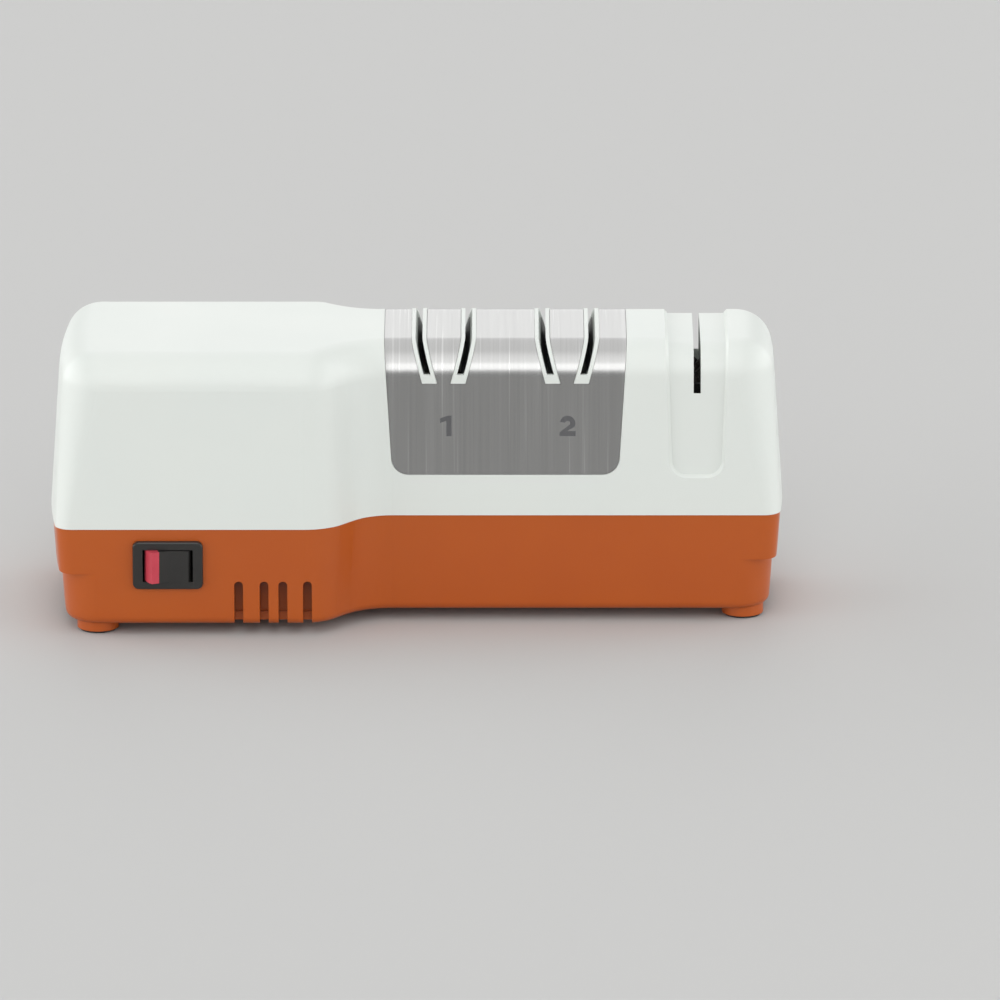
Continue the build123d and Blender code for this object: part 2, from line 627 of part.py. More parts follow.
with BuildPart() as channel_cut:
    add(proud_form)
    add(channel_form, mode=Mode.SUBTRACT)
    add(channel_panel, mode=Mode.INTERSECT)

with BuildPart() as channelled:
    add(outer_form)
    add(channel_cut.part, mode=Mode.SUBTRACT)
    brim = [
        edge
        for edge in channelled.edges()
        if channel_panel.distance_to(edge.center()) < TOUCHING
        and channel_form.distance_to(edge.center()) > CHANNEL_DEPTH / 2
    ]
    chamfer(brim, CHANNEL_EDGE)

with BuildPart() as slot_drops:
    add(ledge_form)
    add(drop_bands, mode=Mode.INTERSECT)

with BuildPart() as upper_housing:
    add(channelled.part)
    add(housing_hollow.part, mode=Mode.SUBTRACT)
    add(plate_seat.part, mode=Mode.SUBTRACT)
    add(rim_pads.part)
    add(guide_window, mode=Mode.SUBTRACT)
    add(hand_window, mode=Mode.SUBTRACT)
    add(slot_drops.part, mode=Mode.SUBTRACT)
    with BuildSketch(Plane.XY.offset(SEAM_Z)):
        with Locations(*SCREW_PLACES):
            Circle(PILOT_RADIUS)
    extrude(amount=SCREW_SEAT_Z + SCREW_LENGTH + WALL - SEAM_Z, mode=Mode.SUBTRACT)
finish(upper_housing.part, "upper_housing")

# Faceplate: thin brushed steel bent over the front and top, with a cut-out for each slot rim
RIM_CUT_Z = SLOT_FLOOR_Z - RIM_BELOW - PLATE_GAP
rim_cuts = [slot_band(slot, HALF_RIM + PLATE_GAP, RIM_CUT_Z) for slot in SLOTS]
with BuildPart() as faceplate:
    add(outer_form)
    add(plate_form, mode=Mode.SUBTRACT)
    add(plate_panel, mode=Mode.INTERSECT)
    add(rear_of_plate.part, mode=Mode.SUBTRACT)
    add(rim_cuts, mode=Mode.SUBTRACT)
finish(faceplate.part, "faceplate")

# Knife guides: five black saddles over the discs, under five white caps that carry the slot rims.
# Their leaning sides leave the four slots between them, and flat facets under the roll part cap and saddle.
GUIDES = ("block_left", "wedge_1", "block_middle", "wedge_2", "block_right")
CORE_FACETS = (0, 30, 60, 90)
CORE_ROLL = TOP_ROUND - CAP_THICKNESS
CORE_Y = RIGHT_HALF - housing_inset(ROLL_Z) - TOP_ROUND / cos(radians(HOUSING_DRAFT))
core_rear = [(CORE_Y + CORE_ROLL * cos(radians(turn)), CORE_ROLL * sin(radians(turn))) for turn in CORE_FACETS]
core_front = [(-y, rise) for y, rise in reversed(core_rear)]
core_points = [(SHAFT_Y + y, ROLL_Z + rise) for y, rise in core_rear + core_front]
with BuildPart() as guide_core:
    with BuildSketch(Plane.YZ.offset(WINDOW_LEFT_X)):
        with BuildLine():
            Polyline(*core_points, close=True)
        make_face()
    extrude(amount=WINDOW_WIDTH)

left_edges = [(WINDOW_LEFT_X + GUIDE_FIT, 0)] + [(x + HALF_SLOT, lean) for x, lean in SLOTS]
right_edges = [(x - HALF_SLOT, lean) for x, lean in SLOTS] + [(WINDOW_RIGHT_X - GUIDE_FIT, 0)]
for index, guide_name in enumerate(GUIDES):
    rims = []
    if index > 0:
        x, lean = SLOTS[index - 1]
        rims.append(band(left_edges[index], (x + HALF_RIM, lean)))
    if index < len(SLOTS):
        x, lean = SLOTS[index]
        rims.append(band((x - HALF_RIM, lean), right_edges[index]))
    between = band(left_edges[index], right_edges[index])
    with BuildPart() as rim_part:
        add(proud_form)
        add(rims, mode=Mode.INTERSECT)
    with BuildPart() as cap:
        add(seat_form)
        add(between, mode=Mode.INTERSECT)
        add(rim_part.part)
        add(guide_core.part, mode=Mode.SUBTRACT)
    finish(cap.part, f"cap_{guide_name}")
    with BuildPart() as guide:
        add(guide_core.part)
        add(between, mode=Mode.INTERSECT)
        with BuildSketch(Plane.YZ.offset(WINDOW_LEFT_X)):
            with Locations((SHAFT_Y, SHAFT_Z)):
                Circle(DISC_RADIUS + DISC_CLEARANCE)
        extrude(amount=WINDOW_WIDTH, mode=Mode.SUBTRACT)
    finish(guide.part, f"guide_{guide_name}")

# Hand stage cheeks: two arches that close the channel beside its slot
for side, cheek_name in ((-1, "hand_cheek_left"), (1, "hand_cheek_right")):
    cheek_block = hand_block(HAND_SLOT_WIDTH / 2, 0, side)
    with BuildPart() as cheek:
        add(channel_form)
        add(cheek_block, mode=Mode.INTERSECT)
        with BuildSketch(Plane.XY.offset(HAND_FLOOR_Z)):
            with Locations((HAND_X, SHAFT_Y)):
                Rectangle(4 * WHEEL_RADIUS, 2 * (CARRIER_HALF_Y + HAND_RELIEF_MARGIN))
        extrude(amount=WHEEL_AXLE_Z + WHEEL_RADIUS + WHEEL_HEADROOM - HAND_FLOOR_Z, mode=Mode.SUBTRACT)
    finish(cheek.part, cheek_name)

# Hand stage: a carrier on a hollow pedestal, with two fixed axles and two sets of meshing abrasive wheels
AXLE_XS = (HAND_X - WHEEL_AXLE_SPAN / 2, HAND_X + WHEEL_AXLE_SPAN / 2)
PEDESTAL_WIDTH = 2 * (CARRIER_HALF_X - PEDESTAL_INSET)
PEDESTAL_DEPTH = 2 * (CARRIER_HALF_Y - PEDESTAL_INSET)
with BuildPart() as hand_carrier:
    with BuildSketch(Plane.XY.offset(CARRIER_BOTTOM_Z)):
        with Locations((HAND_X, SHAFT_Y)):
            Rectangle(2 * CARRIER_HALF_X, 2 * CARRIER_HALF_Y)
    extrude(amount=CARRIER_DROP + CARRIER_EDGE)
    with BuildSketch(Plane.XY.offset(CARRIER_BOTTOM_Z + CARRIER_THICKNESS)):
        with Locations((HAND_X, SHAFT_Y)):
            Rectangle(4 * CARRIER_HALF_X, 2 * (CARRIER_HALF_Y - CARRIER_THICKNESS))
    extrude(amount=CARRIER_DROP + CARRIER_EDGE, mode=Mode.SUBTRACT)
    with BuildSketch(Plane.XZ):
        with Locations(*[(x, WHEEL_AXLE_Z) for x in AXLE_XS]):
            Circle(WHEEL_AXLE_DIAMETER / 2 + ASSEMBLY_FIT)
    extrude(amount=DEPTH, both=True, mode=Mode.SUBTRACT)
    with BuildSketch(Plane.XY.offset(FLOOR_TOP_Z)):
        with Locations((HAND_X, SHAFT_Y)):
            Rectangle(PEDESTAL_WIDTH, PEDESTAL_DEPTH)
            Rectangle(
                PEDESTAL_WIDTH - 2 * PEDESTAL_WALL, PEDESTAL_DEPTH - 2 * PEDESTAL_WALL, mode=Mode.SUBTRACT
            )
    extrude(amount=CARRIER_BOTTOM_Z - FLOOR_TOP_Z)
finish(hand_carrier.part, "hand_carrier")

with BuildPart() as hand_axles:
    with BuildSketch(Plane.XZ.offset(-SHAFT_Y)):
        with Locations(*[(x, WHEEL_AXLE_Z) for x in AXLE_XS]):
            Circle(WHEEL_AXLE_DIAMETER / 2)
    extrude(amount=CARRIER_HALF_Y, both=True)
finish(hand_axles.part, "hand_axles")

wheel_sets = (
    ("hand_wheels_left", AXLE_XS[0], (-WHEEL_PITCH, 0, WHEEL_PITCH)),
    ("hand_wheels_right", AXLE_XS[1], (-WHEEL_PITCH / 2, WHEEL_PITCH / 2)),
)
for set_name, axle_x, offsets in wheel_sets:
    with BuildPart() as wheels:
        with BuildSketch(Plane.XZ.offset(-SHAFT_Y)):
            with Locations((axle_x, WHEEL_AXLE_Z)):
                Circle(WHEEL_BORE + SPACER_WALL)
        extrude(amount=SPACER_HALF, both=True)
        for offset_y in offsets:
            with BuildSketch(Plane.XZ.offset(-SHAFT_Y - offset_y)):
                with Locations((axle_x, WHEEL_AXLE_Z)):
                    Circle(WHEEL_RADIUS)
            extrude(amount=WHEEL_THICKNESS / 2, both=True)
        with BuildSketch(Plane.XZ.offset(-SHAFT_Y)):
            with Locations((axle_x, WHEEL_AXLE_Z)):
                Circle(WHEEL_BORE)
        extrude(amount=SPACER_HALF, both=True, mode=Mode.SUBTRACT)
    finish(wheels.part, set_name)

# Shaft with its cross pins, abrasive discs and the springs that press each pair of discs apart
POST_X = HAND_X - CARRIER_HALF_X - POST_GAP - POST_THICKNESS
SHAFT_RIGHT_X = POST_X + POST_THICKNESS + SHAFT_OVERHANG
PIN_REACH = DISC_OUTER_X + STOP_PIN_DIAMETER / 2 + RUNNING_FIT
PIN_XS = [stage + side * PIN_REACH for stage in STAGE_XS for side in (-1, 1)]
with BuildPart() as stop_pins:
    with BuildSketch(Plane.XY.offset(SHAFT_Z)):
        with Locations(*[(x, SHAFT_Y) for x in PIN_XS]):
            Circle(STOP_PIN_DIAMETER / 2)
    extrude(amount=STOP_PIN_LENGTH / 2, both=True)
finish(stop_pins.part, "stop_pins")

with BuildPart() as shaft:
    with BuildSketch(Plane.YZ.offset(SHAFT_LEFT_X)):
        with Locations((SHAFT_Y, SHAFT_Z)):
            Circle(SHAFT_DIAMETER / 2)
    extrude(amount=SHAFT_RIGHT_X - SHAFT_LEFT_X)
    with BuildSketch(Plane.XY.offset(SHAFT_Z)):
        with Locations(*[(x, SHAFT_Y) for x in PIN_XS]):
            Circle(STOP_PIN_DIAMETER / 2 + ASSEMBLY_FIT)
    extrude(amount=SHAFT_DIAMETER, both=True, mode=Mode.SUBTRACT)
finish(shaft.part, "shaft")

HUB_INNER_X = DISC_OUTER_X - DISC_HUB_THICKNESS
for number, stage in enumerate(STAGE_XS, start=1):
    for side, side_name in ((-1, "left"), (1, "right")):
        profile = (
            (DISC_OUTER_X, SHAFT_DIAMETER / 2 + RUNNING_FIT),
            (DISC_OUTER_X, DISC_HUB_RADIUS),
            (DISC_RIM_X, DISC_RADIUS),
            (DISC_RIM_X - DISC_RIM_THICKNESS, DISC_RADIUS),
            (HUB_INNER_X, DISC_HUB_RADIUS + DISC_RIM_THICKNESS),
            (HUB_INNER_X, SHAFT_DIAMETER / 2 + RUNNING_FIT),
        )
        with BuildPart() as disc:
            with BuildSketch(Plane.XZ.offset(-SHAFT_Y)):
                with BuildLine():
                    Polyline(*[(stage + side * x, SHAFT_Z + r) for x, r in profile], close=True)
                make_face()
            revolve(axis=SHAFT_AXIS)
        finish(disc.part, f"disc_{number}_{side_name}")
    spring = tube_x(
        stage - HUB_INNER_X, 2 * HUB_INNER_X, SPRING_DIAMETER, SPRING_DIAMETER - 2 * SPRING_WALL
    )
    finish(spring, f"disc_spring_{number}")

# Motor: a C-shaped core of stacked plates with one coil, its rotor, two brackets with bushes and a fan
CORE_LEFT_X = MOTOR_X - CORE_LENGTH / 2
SCREW_YS = (SHAFT_Y - SCREW_REACH, SHAFT_Y + SCREW_REACH)
SCREW_HOLE = MOTOR_SCREW_DIAMETER / 2 + ASSEMBLY_FIT
with BuildPart() as motor_core:
    with BuildSketch(Plane.YZ.offset(CORE_LEFT_X)):
        with Locations((SHAFT_Y, CORE_BOTTOM_Z)):
            core_height = SHAFT_Z + CORE_TOP - CORE_BOTTOM_Z
            RectangleRounded(CORE_WIDTH, core_height, CORE_CORNER, align=(Align.CENTER, Align.MIN))
        with Locations((SHAFT_Y, SHAFT_Z)):
            Circle(ROTOR_DIAMETER / 2 + ROTOR_GAP, mode=Mode.SUBTRACT)
        with Locations((SHAFT_Y, CORE_BOTTOM_Z + CORE_LEG)):
            Rectangle(
                CORE_WINDOW_WIDTH, CORE_WINDOW_HEIGHT, align=(Align.CENTER, Align.MIN), mode=Mode.SUBTRACT
            )
        with Locations(*[(y, SHAFT_Z) for y in SCREW_YS]):
            Circle(SCREW_HOLE, mode=Mode.SUBTRACT)
    extrude(amount=CORE_LENGTH)
finish(motor_core.part, "motor_core")

COIL_HOLE_X = CORE_LENGTH + 2 * COIL_GAP
COIL_HOLE_Z = CORE_LEG + 2 * COIL_GAP
with BuildPart() as motor_coil:
    with BuildSketch(Plane.XZ.offset(-SHAFT_Y)):
        with Locations((MOTOR_X, CORE_BOTTOM_Z + CORE_LEG / 2)):
            RectangleRounded(
                COIL_HOLE_X + 2 * COIL_THICKNESS, COIL_HOLE_Z + 2 * COIL_THICKNESS, COIL_CORNER
            )
            Rectangle(COIL_HOLE_X, COIL_HOLE_Z, mode=Mode.SUBTRACT)
    extrude(amount=CORE_WINDOW_WIDTH / 2 - COIL_GAP, both=True)
finish(motor_coil.part, "motor_coil")

rotor = tube_x(CORE_LEFT_X, CORE_LENGTH, ROTOR_DIAMETER, SHAFT_DIAMETER + 2 * ASSEMBLY_FIT)
finish(rotor, "rotor")

bush_middles = []
for side, bracket_name in ((-1, "motor_bracket_left"), (1, "motor_bracket_right")):
    core_face = MOTOR_X + side * CORE_LENGTH / 2
    strap_outer = core_face + side * (BRACKET_REACH + BRACKET_THICKNESS)
    strap_middle = strap_outer - side * BRACKET_THICKNESS / 2
    low_x = min(core_face, strap_outer)
    hollow_x = min(core_face, core_face + side * BRACKET_REACH)
    bush_middles.append(strap_middle)
    with BuildPart() as bracket:
        with BuildSketch(Plane.YZ.offset(low_x)):
            with Locations((SHAFT_Y, SHAFT_Z)):
                Rectangle(BRACKET_WIDTH, BRACKET_HEIGHT)
        extrude(amount=BRACKET_REACH + BRACKET_THICKNESS)
        with BuildSketch(Plane.YZ.offset(hollow_x)):
            with Locations((SHAFT_Y, SHAFT_Z)):
                Rectangle(BRACKET_WIDTH - 2 * BRACKET_LEG, 2 * BRACKET_HEIGHT)
        extrude(amount=BRACKET_REACH, mode=Mode.SUBTRACT)
        with BuildSketch(Plane.YZ.offset(strap_middle)):
            with Locations((SHAFT_Y, SHAFT_Z)):
                Circle(BUSH_DIAMETER / 2 + BUSH_SEAT_WALL)
        extrude(amount=BUSH_SEAT_LENGTH / 2, both=True)
        with BuildSketch(Plane.YZ.offset(low_x - BUSH_LENGTH)):
            with Locations((SHAFT_Y, SHAFT_Z)):
                Circle(BUSH_DIAMETER / 2 + ASSEMBLY_FIT)
            with Locations(*[(y, SHAFT_Z) for y in SCREW_YS]):
                Circle(SCREW_HOLE)
        extrude(amount=BRACKET_REACH + 3 * BUSH_LENGTH, mode=Mode.SUBTRACT)
    finish(bracket.part, bracket_name)

BUSH_BORE = SHAFT_DIAMETER + 2 * RUNNING_FIT
bushes = [tube_x(x - BUSH_LENGTH / 2, BUSH_LENGTH, BUSH_DIAMETER, BUSH_BORE) for x in bush_middles]
with BuildPart() as motor_bushes:
    add(bushes)
finish(motor_bushes.part, "motor_bushes")

CLAMP_LENGTH = CORE_LENGTH + 2 * (BRACKET_REACH + BRACKET_THICKNESS)
with BuildPart() as motor_screws:
    with BuildSketch(Plane.YZ.offset(MOTOR_X)):
        with Locations(*[(y, SHAFT_Z) for y in SCREW_YS]):
            Circle(MOTOR_SCREW_DIAMETER / 2)
    extrude(amount=CLAMP_LENGTH / 2, both=True)
    with BuildSketch(Plane.YZ.offset(MOTOR_X + CLAMP_LENGTH / 2)):
        with Locations(*[(y, SHAFT_Z) for y in SCREW_YS]):
            Circle(MOTOR_SCREW_HEAD / 2)
    extrude(amount=MOTOR_SCREW_HEAD_HEIGHT)
    with BuildSketch(Plane.YZ.offset(MOTOR_X - CLAMP_LENGTH / 2)):
        with Locations(*[(y, SHAFT_Z) for y in SCREW_YS]):
            RegularPolygon(MOTOR_SCREW_HEAD / 2, 6)
    extrude(amount=-MOTOR_SCREW_HEAD_HEIGHT)
finish(motor_screws.part, "motor_screws")

with BuildPart() as fan:
    with BuildSketch(Plane.YZ.offset(FAN_X)):
        with Locations((SHAFT_Y, SHAFT_Z)):
            Circle(FAN_DIAMETER / 2)
    extrude(amount=FAN_PLATE)
    with BuildSketch(Plane.YZ.offset(FAN_X)):
        with Locations((SHAFT_Y, SHAFT_Z)):
            Circle(FAN_HUB_DIAMETER / 2)
            with PolarLocations(0, FAN_BLADES):
                Rectangle(FAN_DIAMETER / 2, FAN_BLADE, align=(Align.MIN, Align.CENTER))
    extrude(amount=FAN_LENGTH)
    with BuildSketch(Plane.YZ.offset(FAN_X)):
        with Locations((SHAFT_Y, SHAFT_Z)):
            Circle(SHAFT_DIAMETER / 2 + ASSEMBLY_FIT)
    extrude(amount=FAN_LENGTH, mode=Mode.SUBTRACT)
finish(fan.part, "fan")

# End bearing: a post on the base floor with the bush that carries the shaft's right end
BUSH_SEAT_RADIUS = BUSH_DIAMETER / 2 + BUSH_SEAT_WALL
with BuildPart() as bearing_post:
    with BuildSketch(Plane.YZ.offset(POST_X)):
        with BuildLine():
            Polyline(
                (SHAFT_Y - BUSH_SEAT_RADIUS, SHAFT_Z),
                (SHAFT_Y - POST_WIDTH / 2, FLOOR_TOP_Z),
                (SHAFT_Y + POST_WIDTH / 2, FLOOR_TOP_Z),
                (SHAFT_Y + BUSH_SEAT_RADIUS, SHAFT_Z),
                close=True,
            )
        make_face()
        with Locations((SHAFT_Y, SHAFT_Z)):
            Circle(BUSH_SEAT_RADIUS)
            Circle(BUSH_DIAMETER / 2 + ASSEMBLY_FIT, mode=Mode.SUBTRACT)
    extrude(amount=POST_THICKNESS)
finish(bearing_post.part, "bearing_post")

end_bush = tube_x(POST_X, POST_THICKNESS, BUSH_DIAMETER, BUSH_BORE)
finish(end_bush, "end_bush")

# Switch: a snap-in body with its bezel, and a rocker that turns on two stubs in the body's side walls
with BuildPart() as switch_body:
    with BuildSketch(SWITCH_PLANE):
        RectangleRounded(BEZEL_WIDTH, BEZEL_HEIGHT, BEZEL_CORNER)
    extrude(amount=BEZEL_THICKNESS)
    fillet(switch_body.faces().sort_by(Axis.Y)[0].edges(), BEZEL_EDGE)
    with BuildSketch(SWITCH_PLANE):
        Rectangle(BODY_WIDTH, BODY_HEIGHT)
    extrude(amount=-SWITCH_BODY_DEPTH)
    with BuildSketch(SWITCH_PLANE.offset(BEZEL_THICKNESS)):
        Rectangle(ROCKER_OPENING_WIDTH, ROCKER_OPENING_HEIGHT)
    extrude(amount=-(BEZEL_THICKNESS + SWITCH_BODY_DEPTH - SWITCH_BODY_WALL), mode=Mode.SUBTRACT)
    PIVOT_POINT = SWITCH_PLANE.from_local_coords(Vector(0, 0, -ROCKER_PIVOT_DEPTH))
    PIVOT_PLANE = Plane(PIVOT_POINT, (1, 0, 0), (0, DRAFT_SIN, -DRAFT_COS))
    with BuildSketch(PIVOT_PLANE):
        Circle(ROCKER_PIVOT_DIAMETER / 2 + ROCKER_PIVOT_FIT)
    extrude(amount=BODY_HEIGHT / 2, both=True, mode=Mode.SUBTRACT)
finish(switch_body.part, "switch_body")

ROCKER_REACH = ROCKER_OPENING_WIDTH / 2 - ROCKER_END_CLEARANCE
pressed_height = ROCKER_PIVOT_DEPTH + BEZEL_THICKNESS + ROCKER_PROUD
corner_turn = asin(pressed_height / ROCKER_REACH) + radians(ROCKER_THROW / 2)
corner_x = ROCKER_REACH * cos(corner_turn)
corner_height = ROCKER_REACH * sin(corner_turn)
end_x = ROCKER_REACH * cos(corner_turn / 2)
end_height = ROCKER_REACH * sin(corner_turn / 2)
valley = corner_height - corner_x * tan(radians(ROCKER_THROW / 2))
ROCKER_PLANE = PIVOT_PLANE.rotated((0, 0, ROCKER_THROW / 2))
ROCKER_HALF = ROCKER_OPENING_HEIGHT / 2 - ROCKER_CLEARANCE

with BuildSketch(ROCKER_PLANE) as rocker_side:
    with BuildLine():
        Polyline((-corner_x, corner_height), (0, valley), (corner_x, corner_height))
        ThreePointArc((corner_x, corner_height), (end_x, end_height), (ROCKER_REACH, 0))
        Polyline(
            (ROCKER_REACH, 0), (ROCKER_ROOT, -ROCKER_ROOT), (-ROCKER_ROOT, -ROCKER_ROOT), (-ROCKER_REACH, 0)
        )
        ThreePointArc((-ROCKER_REACH, 0), (-end_x, end_height), (-corner_x, corner_height))
    make_face()

with BuildSketch(ROCKER_PLANE) as strip_side:
    with Locations(Location((-corner_x, corner_height), -ROCKER_THROW / 2)):
        Rectangle(2 * ROCKER_STRIP_WIDTH, 2 * ROCKER_STRIP_DEPTH)

with BuildPart() as strip_block:
    extrude(strip_side.sketch, amount=ROCKER_HALF, both=True)

with BuildPart() as rocker:
    extrude(rocker_side.sketch, amount=ROCKER_HALF, both=True)
    add(strip_block.part, mode=Mode.SUBTRACT)
    with BuildSketch(ROCKER_PLANE):
        Circle(ROCKER_PIVOT_DIAMETER / 2)
    extrude(amount=BODY_HEIGHT / 2 - ROCKER_CLEARANCE, both=True)
finish(rocker.part, "rocker")

with BuildPart() as rocker_strip:
    extrude(rocker_side.sketch, amount=ROCKER_HALF, both=True)
    add(strip_block.part, mode=Mode.INTERSECT)
finish(rocker_strip.part, "rocker_strip")

# Housing screws, driven up from under the base
with BuildPart() as housing_screws:
    with BuildSketch(Plane.XY.offset(SCREW_SEAT_Z)):
        with Locations(*SCREW_PLACES):
            Circle(SCREW_HEAD_DIAMETER / 2)
    extrude(amount=-SCREW_HEAD_HEIGHT)
    with BuildSketch(Plane.XY.offset(SCREW_SEAT_Z)):
        with Locations(*SCREW_PLACES):
            Circle(SCREW_DIAMETER / 2)
    extrude(amount=SCREW_LENGTH)
finish(housing_screws.part, "housing_screws")

# Cord gland: a flanged bush in the rear wall of the base, with an open bore
with BuildPart() as cord_gland:
    with BuildSketch(GLAND_PLANE):
        Circle(GLAND_FLANGE_DIAMETER / 2)
    extrude(amount=GLAND_FLANGE_THICKNESS)
    with BuildSketch(GLAND_PLANE):
        Circle(GLAND_NECK_DIAMETER / 2)
    extrude(amount=-GLAND_NECK_LENGTH)
    with BuildSketch(GLAND_PLANE):
        Circle(GLAND_BORE / 2)
    extrude(amount=2 * GLAND_NECK_LENGTH, both=True, mode=Mode.SUBTRACT)
finish(cord_gland.part, "cord_gland")
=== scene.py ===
from math import cos, pi, radians, sin, tan

import bmesh
import bpy
from mathutils import Matrix, Vector


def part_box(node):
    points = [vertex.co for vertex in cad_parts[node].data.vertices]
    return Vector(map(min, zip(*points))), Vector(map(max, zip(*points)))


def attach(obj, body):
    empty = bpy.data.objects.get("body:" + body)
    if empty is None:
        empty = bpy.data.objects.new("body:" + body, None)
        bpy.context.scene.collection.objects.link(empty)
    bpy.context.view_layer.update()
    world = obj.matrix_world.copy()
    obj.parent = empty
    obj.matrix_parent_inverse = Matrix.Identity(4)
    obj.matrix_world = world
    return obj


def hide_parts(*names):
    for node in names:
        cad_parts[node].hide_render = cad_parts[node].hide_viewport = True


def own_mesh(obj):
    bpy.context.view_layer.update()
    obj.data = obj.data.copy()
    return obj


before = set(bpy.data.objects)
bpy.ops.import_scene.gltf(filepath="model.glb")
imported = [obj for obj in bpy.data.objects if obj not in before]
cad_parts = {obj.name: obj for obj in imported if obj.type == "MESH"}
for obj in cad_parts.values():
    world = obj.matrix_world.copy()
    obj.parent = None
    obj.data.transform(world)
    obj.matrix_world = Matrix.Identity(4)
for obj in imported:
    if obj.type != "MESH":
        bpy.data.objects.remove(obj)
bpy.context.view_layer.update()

# Base: one injection moulding in burnt orange ABS with a satin finish, with feet, vents and screw bosses
# moulded in. It carries the motor and is closed from above by the housing.
# Satin ABS gives a soft broad sheen over an even colour, with a faint mould grain.


def linear(code):
    """An sRGB hex colour as linear RGBA."""
    parts = [int(code[i:i + 2], 16) / 255 for i in (0, 2, 4)]
    return [c / 12.92 if c <= 0.04045 else ((c + 0.055) / 1.055) ** 2.4 for c in parts] + [1.0]


def start_material(name):
    """An empty node material and its tree."""
    material = bpy.data.materials.new(name)
    material.use_nodes = True
    material.node_tree.nodes.clear()
    return material, material.node_tree


def add_node(tree, kind, inputs=None, links=None, **settings):
    """A node with its settings, its socket values and the sockets that feed it."""
    node = tree.nodes.new(kind)
    for name, value in settings.items():
        setattr(node, name, value)
    for socket, value in (inputs or {}).items():
        node.inputs[socket].default_value = value
    for socket, source in (links or {}).items():
        tree.links.new(source, node.inputs[socket])
    return node


def dress(material, *names):
    """Gives modelled pieces a finish."""
    for name in names:
        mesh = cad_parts[name].data
        mesh.materials.clear()
        mesh.materials.append(material)


ORANGE = "B35512"
ORANGE_DEEP = "AA4B0B"
FLOW_SIZE = 0.035
MOULD_GRAIN = 0.0007

orange_abs, tree = start_material("orange_abs_satin_moulded")
place = add_node(tree, "ShaderNodeTexCoord").outputs["Object"]
flow = add_node(tree, "ShaderNodeTexNoise", {"Scale": 1 / FLOW_SIZE, "Detail": 2.0}, {"Vector": place})
# The mould grain is drawn at 0.7 mm, coarser than the real one, so that it shows.
grain = add_node(tree, "ShaderNodeTexNoise", {"Scale": 1 / MOULD_GRAIN, "Detail": 1.0}, {"Vector": place})
colour = add_node(
    tree, "ShaderNodeMix", {"A": linear(ORANGE), "B": linear(ORANGE_DEEP)},
    {"Factor": flow.outputs["Fac"]}, data_type="RGBA",
)
rough = add_node(
    tree, "ShaderNodeMapRange", {"To Min": 0.3, "To Max": 0.42}, {"Value": flow.outputs["Fac"]}
)
bump = add_node(
    tree, "ShaderNodeBump", {"Strength": 0.06, "Distance": 0.0002}, {"Height": grain.outputs["Fac"]}
)
skin = add_node(
    tree, "ShaderNodeBsdfPrincipled", {"IOR": 1.5},
    {
        "Base Color": colour.outputs["Result"], "Roughness": rough.outputs["Result"],
        "Normal": bump.outputs["Normal"],
    },
)
add_node(tree, "ShaderNodeOutputMaterial", links={"Surface": skin.outputs["BSDF"]})
dress(orange_abs, "base")

# Foot pads: four discs of black rubber, die cut and glued into shallow recesses under the feet.
# Rubber is dull and near black, with a dusty mottle.
RUBBER = "1C1B1A"
RUBBER_DUST = "2E2C2A"
RUBBER_MOTTLE = 0.0012

pad_rubber, tree = start_material("black_rubber_die_cut")
place = add_node(tree, "ShaderNodeTexCoord").outputs["Object"]
mottle = add_node(tree, "ShaderNodeTexNoise", {"Scale": 1 / RUBBER_MOTTLE, "Detail": 3.0}, {"Vector": place})
colour = add_node(
    tree, "ShaderNodeMix", {"A": linear(RUBBER), "B": linear(RUBBER_DUST)},
    {"Factor": mottle.outputs["Fac"]}, data_type="RGBA",
)
bump = add_node(
    tree, "ShaderNodeBump", {"Strength": 0.3, "Distance": 0.0002}, {"Height": mottle.outputs["Fac"]}
)
skin = add_node(
    tree, "ShaderNodeBsdfPrincipled", {"IOR": 1.52, "Roughness": 0.85},
    {"Base Color": colour.outputs["Result"], "Normal": bump.outputs["Normal"]},
)
add_node(tree, "ShaderNodeOutputMaterial", links={"Surface": skin.outputs["BSDF"]})
dress(pad_rubber, "foot_pads")

# Motor core and rotor: silicon steel sheets, punched and stacked along the shaft, held by two long screws.
# The stack shows as fine grooves across the shaft and a blued grey skin.
SHEET_STEEL = "5E6064"
SHEET_EDGE = "3C3B3A"
SHEET_PITCH = 0.0012
STAIN_SIZE = 0.0083
# A wave texture has this many bands to the metre at scale 1.
BANDS_AT_SCALE_1 = 3.18

core_steel, tree = start_material("silicon_steel_stacked")
place = add_node(tree, "ShaderNodeTexCoord").outputs["Object"]
# The sheets are drawn 1.2 mm thick, over twice the real gauge, so that they show.
sheets = add_node(
    tree, "ShaderNodeTexWave", {"Scale": 1 / SHEET_PITCH / BANDS_AT_SCALE_1, "Distortion": 0.0},
    {"Vector": place}, wave_type="BANDS", bands_direction="X",
)
stain = add_node(tree, "ShaderNodeTexNoise", {"Scale": 1 / STAIN_SIZE, "Detail": 4.0}, {"Vector": place})
colour = add_node(
    tree, "ShaderNodeMix", {"A": linear(SHEET_EDGE), "B": linear(SHEET_STEEL)},
    {"Factor": sheets.outputs["Fac"]}, data_type="RGBA",
)
rough = add_node(
    tree, "ShaderNodeMapRange", {"To Min": 0.35, "To Max": 0.6}, {"Value": stain.outputs["Fac"]}
)
bump = add_node(
    tree, "ShaderNodeBump", {"Strength": 0.4, "Distance": 0.0003}, {"Height": sheets.outputs["Fac"]}
)
skin = add_node(
    tree, "ShaderNodeBsdfPrincipled", {"Metallic": 1.0},
    {
        "Base Color": colour.outputs["Result"], "Roughness": rough.outputs["Result"],
        "Normal": bump.outputs["Normal"],
    },
)
add_node(tree, "ShaderNodeOutputMaterial", links={"Surface": skin.outputs["BSDF"]})
dress(core_steel, "motor_core", "rotor")

